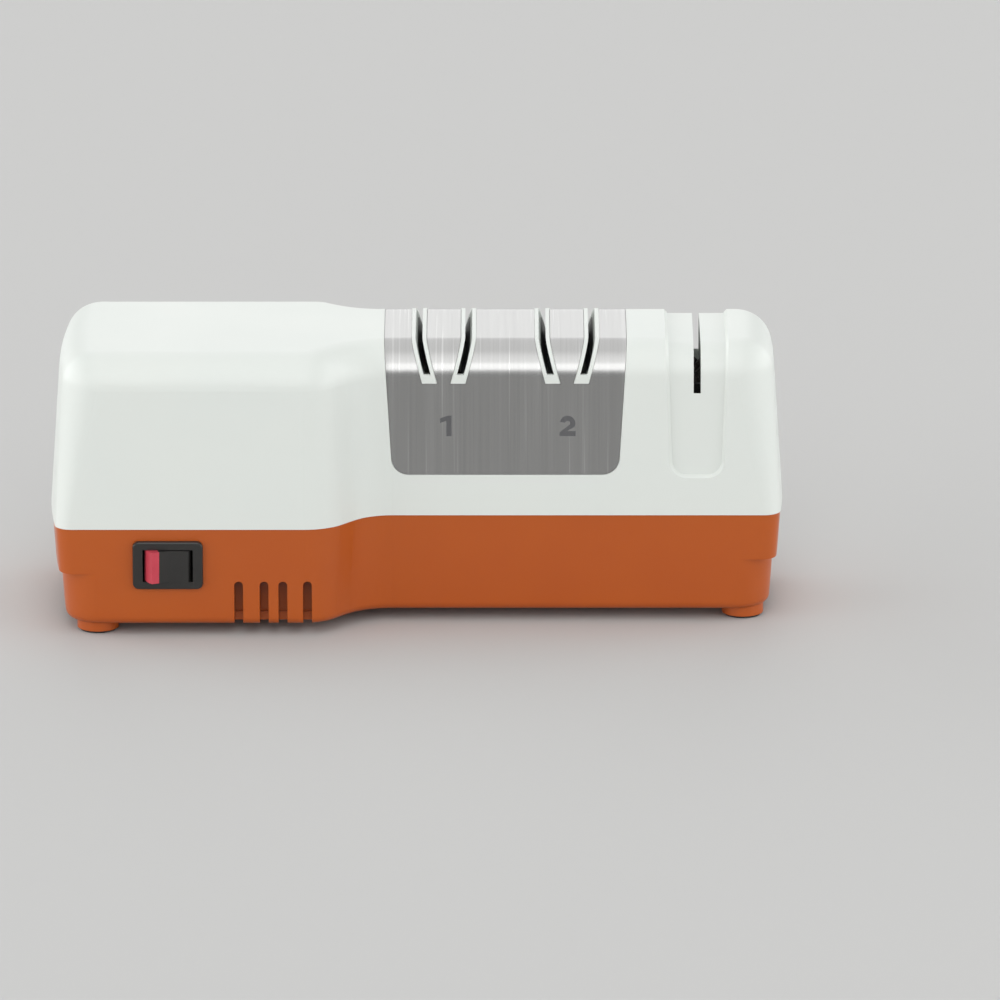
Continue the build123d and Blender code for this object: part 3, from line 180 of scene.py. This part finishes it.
# Motor coil: enamelled copper wire wound on the core's lower leg.
# The turns show as even ridges under a clear amber varnish.
COPPER = "B5683A"
COPPER_DARK = "7A3F22"
WIRE_PITCH = 0.0009

coil_copper, tree = start_material("copper_wire_enamelled")
place = add_node(tree, "ShaderNodeTexCoord").outputs["Object"]
# The wire is drawn at 0.9 mm, about three times the real one, so that its turns show.
turns = add_node(
    tree, "ShaderNodeTexWave", {"Scale": 1 / WIRE_PITCH / BANDS_AT_SCALE_1, "Distortion": 0.4},
    {"Vector": place}, wave_type="BANDS", bands_direction="Y",
)
colour = add_node(
    tree, "ShaderNodeMix", {"A": linear(COPPER_DARK), "B": linear(COPPER)},
    {"Factor": turns.outputs["Fac"]}, data_type="RGBA",
)
bump = add_node(
    tree, "ShaderNodeBump", {"Strength": 0.6, "Distance": 0.0004}, {"Height": turns.outputs["Fac"]}
)
skin = add_node(
    tree, "ShaderNodeBsdfPrincipled", {"Metallic": 0.9, "Roughness": 0.32, "Coat Weight": 0.4},
    {"Base Color": colour.outputs["Result"], "Normal": bump.outputs["Normal"]},
)
add_node(tree, "ShaderNodeOutputMaterial", links={"Surface": skin.outputs["BSDF"]})
dress(coil_copper, "motor_coil")

# Motor brackets and bearing post: zinc alloy, die cast, clamped to the core or stood on the base floor.
# Castings have a pale grey skin with a fine sandy break-up.
ALLOY = "A6A7A8"
ALLOY_DULL = "8B8C8E"
CAST_GRAIN = 0.0009

cast_alloy, tree = start_material("zinc_alloy_die_cast")
place = add_node(tree, "ShaderNodeTexCoord").outputs["Object"]
# The grain is drawn at 0.9 mm, coarser than a real casting's, so that it shows.
sand = add_node(tree, "ShaderNodeTexNoise", {"Scale": 1 / CAST_GRAIN, "Detail": 3.0}, {"Vector": place})
colour = add_node(
    tree, "ShaderNodeMix", {"A": linear(ALLOY_DULL), "B": linear(ALLOY)},
    {"Factor": sand.outputs["Fac"]}, data_type="RGBA",
)
bump = add_node(
    tree, "ShaderNodeBump", {"Strength": 0.25, "Distance": 0.0002}, {"Height": sand.outputs["Fac"]}
)
skin = add_node(
    tree, "ShaderNodeBsdfPrincipled", {"Metallic": 1.0, "Roughness": 0.52},
    {"Base Color": colour.outputs["Result"], "Normal": bump.outputs["Normal"]},
)
add_node(tree, "ShaderNodeOutputMaterial", links={"Surface": skin.outputs["BSDF"]})
dress(cast_alloy, "motor_bracket_left", "motor_bracket_right", "bearing_post")

# Bushes: sintered bronze, pressed and soaked in oil, seated in the brackets and the post.
# The pores show as dark specks in a warm dull metal.
BRONZE = "A47B45"
BRONZE_PORE = "5A4228"
PORE_SIZE = 0.0005

bush_bronze, tree = start_material("bronze_sintered")
place = add_node(tree, "ShaderNodeTexCoord").outputs["Object"]
# The pores are drawn at 0.5 mm, coarser than real ones, so that they show.
pores = add_node(tree, "ShaderNodeTexVoronoi", {"Scale": 1 / PORE_SIZE}, {"Vector": place})
spots = add_node(
    tree, "ShaderNodeMapRange", {"From Min": 0.1, "From Max": 0.4}, {"Value": pores.outputs["Distance"]}
)
colour = add_node(
    tree, "ShaderNodeMix", {"A": linear(BRONZE_PORE), "B": linear(BRONZE)},
    {"Factor": spots.outputs["Result"]}, data_type="RGBA",
)
skin = add_node(
    tree, "ShaderNodeBsdfPrincipled", {"Metallic": 1.0, "Roughness": 0.45},
    {"Base Color": colour.outputs["Result"]},
)
add_node(tree, "ShaderNodeOutputMaterial", links={"Surface": skin.outputs["BSDF"]})
dress(bush_bronze, "motor_bushes", "end_bush")

# Shaft, pins, axles and screws: drawn steel, ground or zinc plated. The shaft runs in the bushes, the pins
# are pressed into it, and the axles into the hand stage carrier.
# Bright steel shows fine lines and small changes of gloss.
STEEL = "B9BABC"
STEEL_DULL = "96979A"
DRAWN_PITCH = 0.000385
DRAWN_LENGTH = 0.00625

bright_steel, tree = start_material("steel_drawn_bright")
place = add_node(tree, "ShaderNodeTexCoord").outputs["Object"]
# The lines are drawn about 0.4 mm apart, coarser than real ones, so that they show.
lines = add_node(
    tree, "ShaderNodeMapping", {"Scale": (1 / DRAWN_PITCH, 1 / DRAWN_LENGTH, 1 / DRAWN_LENGTH)},
    {"Vector": place},
)
drawn = add_node(
    tree, "ShaderNodeTexNoise", {"Scale": 1.0, "Detail": 2.0}, {"Vector": lines.outputs["Vector"]}
)
colour = add_node(
    tree, "ShaderNodeMix", {"A": linear(STEEL_DULL), "B": linear(STEEL)},
    {"Factor": drawn.outputs["Fac"]}, data_type="RGBA",
)
rough = add_node(
    tree, "ShaderNodeMapRange", {"To Min": 0.18, "To Max": 0.36}, {"Value": drawn.outputs["Fac"]}
)
skin = add_node(
    tree, "ShaderNodeBsdfPrincipled", {"Metallic": 1.0},
    {"Base Color": colour.outputs["Result"], "Roughness": rough.outputs["Result"]},
)
add_node(tree, "ShaderNodeOutputMaterial", links={"Surface": skin.outputs["BSDF"]})
dress(bright_steel, "shaft", "stop_pins", "motor_screws", "hand_axles", "housing_screws")

# Disc springs: steel wire coiled round the shaft, one between the two discs of each stage.
# Each half is a piece of its own, since the disc on its side presses it towards the middle.
SPRING_WIRE = 0.0008
WIRE_SIDES = 8
SPRING_HALF_TURNS = 1.75
SPRING_STEPS = 42


def new_piece(bm, name, material):
    """An object at the origin, with its place in its mesh."""
    mesh = bpy.data.meshes.new(name)
    bm.to_mesh(mesh)
    bm.free()
    mesh.materials.append(material)
    piece = bpy.data.objects.new(name, mesh)
    bpy.context.scene.collection.objects.link(piece)
    return piece


for stage in (1, 2):
    node = f"disc_spring_{stage}"
    low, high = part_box(node)
    middle = (low + high) / 2
    coil_radius = (high.z - low.z - SPRING_WIRE) / 2
    for side, way in (("left", -1), ("right", 1)):
        run = way * ((high.x - low.x) / 2 - SPRING_WIRE / 2)
        bm = bmesh.new()
        bmesh.ops.create_circle(bm, segments=WIRE_SIDES, radius=SPRING_WIRE / 2)
        bmesh.ops.translate(bm, verts=bm.verts, vec=middle + Vector((0.0, coil_radius, 0.0)))
        bmesh.ops.spin(
            bm, geom=bm.verts[:] + bm.edges[:], cent=middle, axis=(1.0, 0.0, 0.0),
            dvec=(run / SPRING_STEPS, 0.0, 0.0), angle=way * 2 * pi * SPRING_HALF_TURNS, steps=SPRING_STEPS,
        )
        bmesh.ops.holes_fill(bm, edges=[edge for edge in bm.edges if edge.is_boundary], sides=0)
        bmesh.ops.recalc_face_normals(bm, faces=bm.faces)
        for face in bm.faces:
            face.smooth = True
        coil = new_piece(bm, f"{node}_{side}", bright_steel)
        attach(coil, "shaft_group")
        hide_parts(node)
        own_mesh(coil)

# Fan, knife guides, hand stage carrier, switch body, rocker and cord gland: black nylon, injection moulded.
# Black mouldings are dull with a soft sheen that varies a little from place to place.
NYLON = "1C1B1A"
NYLON_WORN = "262523"
NYLON_CLOUD = 0.011
NYLON_GRAIN = 0.0008

black_nylon, tree = start_material("black_nylon_moulded")
place = add_node(tree, "ShaderNodeTexCoord").outputs["Object"]
flow = add_node(tree, "ShaderNodeTexNoise", {"Scale": 1 / NYLON_CLOUD, "Detail": 3.0}, {"Vector": place})
# The mould grain is drawn at 0.8 mm, coarser than the real one, so that it shows.
grain = add_node(tree, "ShaderNodeTexNoise", {"Scale": 1 / NYLON_GRAIN, "Detail": 1.0}, {"Vector": place})
colour = add_node(
    tree, "ShaderNodeMix", {"A": linear(NYLON), "B": linear(NYLON_WORN)},
    {"Factor": flow.outputs["Fac"]}, data_type="RGBA",
)
rough = add_node(
    tree, "ShaderNodeMapRange", {"To Min": 0.3, "To Max": 0.46}, {"Value": flow.outputs["Fac"]}
)
bump = add_node(
    tree, "ShaderNodeBump", {"Strength": 0.1, "Distance": 0.0002}, {"Height": grain.outputs["Fac"]}
)
skin = add_node(
    tree, "ShaderNodeBsdfPrincipled", {"IOR": 1.53},
    {
        "Base Color": colour.outputs["Result"], "Roughness": rough.outputs["Result"],
        "Normal": bump.outputs["Normal"],
    },
)
add_node(tree, "ShaderNodeOutputMaterial", links={"Surface": skin.outputs["BSDF"]})
dress(
    black_nylon, "fan", "guide_block_left", "guide_wedge_1", "guide_block_middle", "guide_wedge_2",
    "guide_block_right", "hand_carrier", "switch_body", "rocker", "cord_gland",
)

# Abrasive discs and hand wheels: steel blanks with hard grit plated on. The discs slide on the shaft, and
# the wheels turn on their axles.
# The grit reads as a dense dark grey sand.
GRIT = "6E6A62"
GRIT_SHADOW = "3A3733"
GRIT_SIZE = 0.0004

abrasive, tree = start_material("grit_plated_steel")
place = add_node(tree, "ShaderNodeTexCoord").outputs["Object"]
# The grit is drawn at 0.4 mm, some five times the real size, so that it shows.
stones = add_node(tree, "ShaderNodeTexVoronoi", {"Scale": 1 / GRIT_SIZE}, {"Vector": place})
colour = add_node(
    tree, "ShaderNodeMix", {"A": linear(GRIT), "B": linear(GRIT_SHADOW)},
    {"Factor": stones.outputs["Distance"]}, data_type="RGBA",
)
bump = add_node(
    tree, "ShaderNodeBump", {"Strength": 0.8, "Distance": 0.0002}, {"Height": stones.outputs["Distance"]}
)
skin = add_node(
    tree, "ShaderNodeBsdfPrincipled", {"Metallic": 0.7, "Roughness": 0.5},
    {"Base Color": colour.outputs["Result"], "Normal": bump.outputs["Normal"]},
)
add_node(tree, "ShaderNodeOutputMaterial", links={"Surface": skin.outputs["BSDF"]})
dress(
    abrasive, "disc_1_left", "disc_1_right", "disc_2_left", "disc_2_right", "hand_wheels_left",
    "hand_wheels_right",
)

# Upper housing, slot caps and hand stage cheeks: satin white ABS, injection moulded. The housing is
# screwed to the base from below, and the caps and cheeks drop into its windows.
# Satin ABS gives a soft sheen over a faintly cool white, with the slight waviness of a moulded skin.
WHITE = "D6DAD5"
WHITE_COOL = "D3D8D4"
WAVE_SIZE = 0.02

white_abs, tree = start_material("white_abs_satin_moulded")
place = add_node(tree, "ShaderNodeTexCoord").outputs["Object"]
flow = add_node(tree, "ShaderNodeTexNoise", {"Scale": 1 / FLOW_SIZE, "Detail": 2.0}, {"Vector": place})
wave = add_node(tree, "ShaderNodeTexNoise", {"Scale": 1 / WAVE_SIZE, "Detail": 1.0}, {"Vector": place})
colour = add_node(
    tree, "ShaderNodeMix", {"A": linear(WHITE), "B": linear(WHITE_COOL)},
    {"Factor": flow.outputs["Fac"]}, data_type="RGBA",
)
rough = add_node(
    tree, "ShaderNodeMapRange", {"To Min": 0.38, "To Max": 0.48}, {"Value": flow.outputs["Fac"]}
)
bump = add_node(
    tree, "ShaderNodeBump", {"Strength": 0.05, "Distance": 0.0004}, {"Height": wave.outputs["Fac"]}
)
skin = add_node(
    tree, "ShaderNodeBsdfPrincipled", {"IOR": 1.5},
    {
        "Base Color": colour.outputs["Result"], "Roughness": rough.outputs["Result"],
        "Normal": bump.outputs["Normal"],
    },
)
add_node(tree, "ShaderNodeOutputMaterial", links={"Surface": skin.outputs["BSDF"]})
dress(
    white_abs, "upper_housing", "cap_block_left", "cap_wedge_1", "cap_block_middle", "cap_wedge_2",
    "cap_block_right", "hand_cheek_left", "hand_cheek_right",
)

# Faceplate: stainless steel sheet, brushed up and down, bent over the housing and fixed in its seat.
# Brushing smears reflections sideways and leaves fine upright lines, a few of them long and pale.
STAINLESS = "A6A6A5"
STAINLESS_LINE = "969695"
STAINLESS_PALE = "BCBCBB"
BRUSH_PITCH = 0.0005
BRUSH_LENGTH = 0.06
STREAK_PITCH = 0.0032
STREAK_LENGTH = 0.25
STREAK_SHARE = 0.45
PALE_PITCH = 0.0011
PALE_LENGTH = 0.1

brushed_stainless, tree = start_material("stainless_brushed")
place = add_node(tree, "ShaderNodeTexCoord").outputs["Object"]


def upright_lines(tree, place, pitch, length, detail):
    """A noise drawn out into upright lines, one pitch wide and some length long."""
    drawn = add_node(
        tree, "ShaderNodeMapping", {"Scale": (1 / pitch, 1 / length, 1 / length)}, {"Vector": place}
    )
    noise = add_node(
        tree, "ShaderNodeTexNoise", {"Scale": 1.0, "Detail": detail, "Roughness": 0.6},
        {"Vector": drawn.outputs["Vector"]},
    )
    return noise.outputs["Fac"]


# The finest lines are drawn 0.5 mm apart, coarser than real brushing, so that they show.
brush = upright_lines(tree, place, BRUSH_PITCH, BRUSH_LENGTH, 3.0)
streak = upright_lines(tree, place, STREAK_PITCH, STREAK_LENGTH, 3.0)
pale = upright_lines(tree, place, PALE_PITCH, PALE_LENGTH, 1.0)
lines = add_node(
    tree, "ShaderNodeMix", {"Factor": STREAK_SHARE}, {"A": brush, "B": streak}, data_type="FLOAT"
)
spread = add_node(
    tree, "ShaderNodeMapRange", {"From Min": 0.3, "From Max": 0.7}, {"Value": lines.outputs["Result"]}
)
colour = add_node(
    tree, "ShaderNodeMix", {"A": linear(STAINLESS_LINE), "B": linear(STAINLESS)},
    {"Factor": spread.outputs["Result"]}, data_type="RGBA",
)
few = add_node(
    tree, "ShaderNodeMapRange", {"From Min": 0.62, "From Max": 0.74, "To Max": 0.6}, {"Value": pale}
)
colour = add_node(
    tree, "ShaderNodeMix", {"B": linear(STAINLESS_PALE)},
    {"Factor": few.outputs["Result"], "A": colour.outputs["Result"]}, data_type="RGBA",
)
rough = add_node(
    tree, "ShaderNodeMapRange", {"To Min": 0.2, "To Max": 0.27}, {"Value": spread.outputs["Result"]}
)
bump = add_node(tree, "ShaderNodeBump", {"Strength": 0.08, "Distance": 0.0001}, {"Height": brush})
around = add_node(tree, "ShaderNodeTangent", direction_type="RADIAL", axis="X")
skin = add_node(
    tree, "ShaderNodeBsdfPrincipled", {"Metallic": 1.0, "Anisotropic": 0.6, "Anisotropic Rotation": 0.25},
    {
        "Base Color": colour.outputs["Result"], "Roughness": rough.outputs["Result"],
        "Normal": bump.outputs["Normal"], "Tangent": around.outputs["Tangent"],
    },
)
add_node(tree, "ShaderNodeOutputMaterial", links={"Surface": skin.outputs["BSDF"]})
dress(brushed_stainless, "faceplate")

# Stage numbers: a bold 1 and 2, screen printed in dark grey ink on the faceplate under their pairs of slots.
# The ink is dull and lets the brushing show faintly through it.
INK = "4E4E50"
INK_THIN = "5C5C5E"
INK_THICKNESS = 0.00004
INK_WEAR_LENGTH = 0.02
NUMBER_HEIGHT = 0.0073
NUMBER_STROKE = 0.0018
NUMBER_Z = 0.0721
NUMBER_XS = (0.0105, 0.053)
FLAG_TOP = 0.0004
FLAG_REACH = 0.0022
FLAG_FALL = 0.001
FLAG_STROKE = 0.0016
BOWL_RADIUS = 0.0027
BOWL_START = radians(170)
BOWL_SWEEP = radians(200)
BOWL_STEPS = 20
NECK_X = -0.0002
HALF_FOOT = 0.0028
HEEL_HEIGHT = 0.0013
# The front of the faceplate leans back from the seam, where it stands at FRONT_Y.
SEAM_Z = 0.04
FRONT_Y = -0.0285
WALL_LEAN = radians(3.8)

printed_ink, tree = start_material("grey_ink_screen_printed")
place = add_node(tree, "ShaderNodeTexCoord").outputs["Object"]
wear = upright_lines(tree, place, BRUSH_PITCH, INK_WEAR_LENGTH, 2.0)
colour = add_node(
    tree, "ShaderNodeMix", {"A": linear(INK), "B": linear(INK_THIN)}, {"Factor": wear}, data_type="RGBA"
)
skin = add_node(
    tree, "ShaderNodeBsdfPrincipled", {"Roughness": 0.5, "IOR": 1.48},
    {"Base Color": colour.outputs["Result"]},
)
add_node(tree, "ShaderNodeOutputMaterial", links={"Surface": skin.outputs["BSDF"]})


def print_number(bm, name, number_x):
    """Raises a flat number by the ink's thickness and sets it on the front of the faceplate."""
    raised = bmesh.ops.extrude_face_region(bm, geom=bm.faces[:])["geom"]
    corners = [item for item in raised if isinstance(item, bmesh.types.BMVert)]
    bmesh.ops.translate(bm, verts=corners, vec=(0.0, 0.0, INK_THICKNESS))
    bmesh.ops.recalc_face_normals(bm, faces=bm.faces)
    front = Vector((number_x, FRONT_Y + (NUMBER_Z - SEAM_Z) * tan(WALL_LEAN), NUMBER_Z))
    bm.transform(Matrix.Translation(front) @ Matrix.Rotation(pi / 2 - WALL_LEAN, 4, "X"))
    number = new_piece(bm, name, printed_ink)
    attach(number, "sharpener_body")


half = NUMBER_HEIGHT / 2
one = [
    (0.0, -half), (NUMBER_STROKE, -half), (NUMBER_STROKE, half), (FLAG_TOP, half),
    (-FLAG_REACH, half - FLAG_FALL), (-FLAG_REACH, half - FLAG_FALL - FLAG_STROKE),
    (0.0, half - NUMBER_STROKE),
]
bm = bmesh.new()
bm.faces.new([bm.verts.new((x, y, 0.0)) for x, y in one])
print_number(bm, "stage_number_1", NUMBER_XS[0])

# The bowl of the 2 is spun from its tip round to the neck, and the neck and foot are one more face.
bowl_centre = Vector((0.0, half - BOWL_RADIUS, 0.0))
ray = Vector((cos(BOWL_START), sin(BOWL_START), 0.0))
bm = bmesh.new()
tip = [bm.verts.new(bowl_centre + radius * ray) for radius in (BOWL_RADIUS - NUMBER_STROKE, BOWL_RADIUS)]
bowl = bmesh.ops.spin(
    bm, geom=tip + [bm.edges.new(tip)], cent=bowl_centre, axis=(0.0, 0.0, 1.0), angle=-BOWL_SWEEP,
    steps=BOWL_STEPS,
)
inner, outer = sorted(
    [item for item in bowl["geom_last"] if isinstance(item, bmesh.types.BMVert)],
    key=lambda vert: (vert.co - bowl_centre).length,
)
foot = [
    (NECK_X, NUMBER_STROKE - half), (HALF_FOOT, NUMBER_STROKE - half), (HALF_FOOT, -half),
    (-HALF_FOOT, -half), (-HALF_FOOT, HEEL_HEIGHT - half),
]
bm.faces.new([outer] + [bm.verts.new((x, y, 0.0)) for x, y in foot] + [inner])
print_number(bm, "stage_number_2", NUMBER_XS[1])

# Rocker strip: a red acrylic end piece, moulded onto the raised end of the rocker.
# Gloss acrylic gives a strong red with faint clouds of a deeper one.
RED = "C94655"
RED_DEEP = "B83A49"
RED_CLOUD = 0.00333

red_inlay, tree = start_material("red_acrylic_inlay")
place = add_node(tree, "ShaderNodeTexCoord").outputs["Object"]
flow = add_node(tree, "ShaderNodeTexNoise", {"Scale": 1 / RED_CLOUD, "Detail": 2.0}, {"Vector": place})
colour = add_node(
    tree, "ShaderNodeMix", {"A": linear(RED), "B": linear(RED_DEEP)},
    {"Factor": flow.outputs["Fac"]}, data_type="RGBA",
)
skin = add_node(
    tree, "ShaderNodeBsdfPrincipled", {"Roughness": 0.28, "IOR": 1.49},
    {"Base Color": colour.outputs["Result"]},
)
add_node(tree, "ShaderNodeOutputMaterial", links={"Surface": skin.outputs["BSDF"]})
dress(red_inlay, "rocker_strip")

# Studio: a pale matt floor, a sky of soft light with bright panels low in front, behind and at both sides,
# and the camera.
FLOOR = "C0C0BF"
FLOOR_SIZE = 8.0
FIBRE_SIZE = 0.33

floor_paper, tree = start_material("paper_pale_matt")
place = add_node(tree, "ShaderNodeTexCoord").outputs["Object"]
fibre = add_node(tree, "ShaderNodeTexNoise", {"Scale": 1 / FIBRE_SIZE, "Detail": 2.0}, {"Vector": place})
rough = add_node(
    tree, "ShaderNodeMapRange", {"To Min": 0.85, "To Max": 0.95}, {"Value": fibre.outputs["Fac"]}
)
skin = add_node(
    tree, "ShaderNodeBsdfPrincipled", {"Base Color": linear(FLOOR), "Specular IOR Level": 0.1},
    {"Roughness": rough.outputs["Result"]},
)
add_node(tree, "ShaderNodeOutputMaterial", links={"Surface": skin.outputs["BSDF"]})
bm = bmesh.new()
bmesh.ops.create_grid(bm, x_segments=1, y_segments=1, size=FLOOR_SIZE)
floor = new_piece(bm, "floor", floor_paper)

sky = bpy.data.worlds.new("soft_sky")
bpy.context.scene.world = sky
sky.use_nodes = True
sky.node_tree.nodes.clear()
tree = sky.node_tree
way = add_node(tree, "ShaderNodeTexCoord").outputs["Generated"]
split = add_node(tree, "ShaderNodeSeparateXYZ", links={"Vector": way})

# Each strip of sky has its stops, as the sine of the height above the horizon and a level. The edges of the
# strips are sines too, to the side or to the rear.
BRIGHTEST = 3.5
BETWEEN_LEVEL = 0.1
REAR_EDGE = 0.15
CENTRE_EDGE = 0.1
STRIP_EDGES = (0.12, 0.32)
END_EDGES = (0.32, 0.82)
SKY_STRIPS = {
    "ahead": [
        (0.0, 0.62), (0.12, 0.85), (0.23, 1.5), (0.34, 3.4), (0.58, 3.5), (0.68, 2.6), (0.85, 2.4),
        (0.95, 2.1), (1.0, 1.7),
    ],
    "behind": [(0.0, 0.95), (0.12, 1.68), (0.38, 1.68), (0.47, 1.45), (1.0, 1.7)],
    "left": [(0.0, 3.3), (0.4, 3.3), (0.55, 0.8), (1.0, 0.8)],
    "right": [(0.0, 2.85), (0.4, 2.85), (0.55, 0.8), (1.0, 0.8)],
}
strips = {}
for name, stops in SKY_STRIPS.items():
    ramp = add_node(tree, "ShaderNodeValToRGB", links={"Fac": split.outputs["Z"]})
    elements = ramp.color_ramp.elements
    for sine, _ in stops[1:-1]:
        elements.new(sine)
    for element, (sine, level) in zip(elements, stops):
        element.position = sine
        element.color = [level / BRIGHTEST] * 3 + [1.0]
    strips[name] = ramp.outputs["Color"]
rearward = add_node(
    tree, "ShaderNodeMapRange", {"From Min": -REAR_EDGE, "From Max": REAR_EDGE},
    {"Value": split.outputs["Y"]}, interpolation_type="SMOOTHSTEP",
)
sideways = add_node(tree, "ShaderNodeMath", links={0: split.outputs["X"]}, operation="ABSOLUTE")
middle = add_node(
    tree, "ShaderNodeMix",
    links={"Factor": rearward.outputs["Result"], "A": strips["ahead"], "B": strips["behind"]},
    data_type="RGBA",
)
farther = add_node(
    tree, "ShaderNodeMapRange", {"From Min": END_EDGES[0], "From Max": END_EDGES[1]},
    {"Value": sideways.outputs["Value"]},
)
rightward = add_node(
    tree, "ShaderNodeMapRange", {"From Min": -CENTRE_EDGE, "From Max": CENTRE_EDGE},
    {"Value": split.outputs["X"]},
)
ends = add_node(
    tree, "ShaderNodeMix",
    links={"Factor": rightward.outputs["Result"], "A": strips["left"], "B": strips["right"]},
    data_type="RGBA",
)
side = add_node(
    tree, "ShaderNodeMix", {"A": [BETWEEN_LEVEL / BRIGHTEST] * 3 + [1.0]},
    {"Factor": farther.outputs["Result"], "B": ends.outputs["Result"]}, data_type="RGBA",
)
beside = add_node(
    tree, "ShaderNodeMapRange", {"From Min": STRIP_EDGES[0], "From Max": STRIP_EDGES[1]},
    {"Value": sideways.outputs["Value"]}, interpolation_type="SMOOTHSTEP",
)
light = add_node(
    tree, "ShaderNodeMix",
    links={"Factor": beside.outputs["Result"], "A": middle.outputs["Result"], "B": side.outputs["Result"]},
    data_type="RGBA",
)
glow = add_node(tree, "ShaderNodeBackground", {"Strength": BRIGHTEST}, {"Color": light.outputs["Result"]})
add_node(tree, "ShaderNodeOutputWorld", links={"Surface": glow.outputs["Background"]})

CAMERA_PLACE = (0.0293, -4.0285, 1.261)
CAMERA_PITCH = radians(16.9014)
CAMERA_LENS = 428.8
SENSOR_WIDTH = 36.0
NEAREST = 0.1
FARTHEST = 50.0
camera_data = bpy.data.cameras.new("camera")
camera_data.sensor_width = SENSOR_WIDTH
camera_data.lens = CAMERA_LENS
camera_data.clip_start = NEAREST
camera_data.clip_end = FARTHEST
camera = bpy.data.objects.new("camera", camera_data)
bpy.context.scene.collection.objects.link(camera)
camera.location = CAMERA_PLACE
camera.rotation_euler = (pi / 2 - CAMERA_PITCH, 0.0, 0.0)
bpy.context.scene.camera = camera

bpy.context.scene.view_settings.view_transform = "Standard"
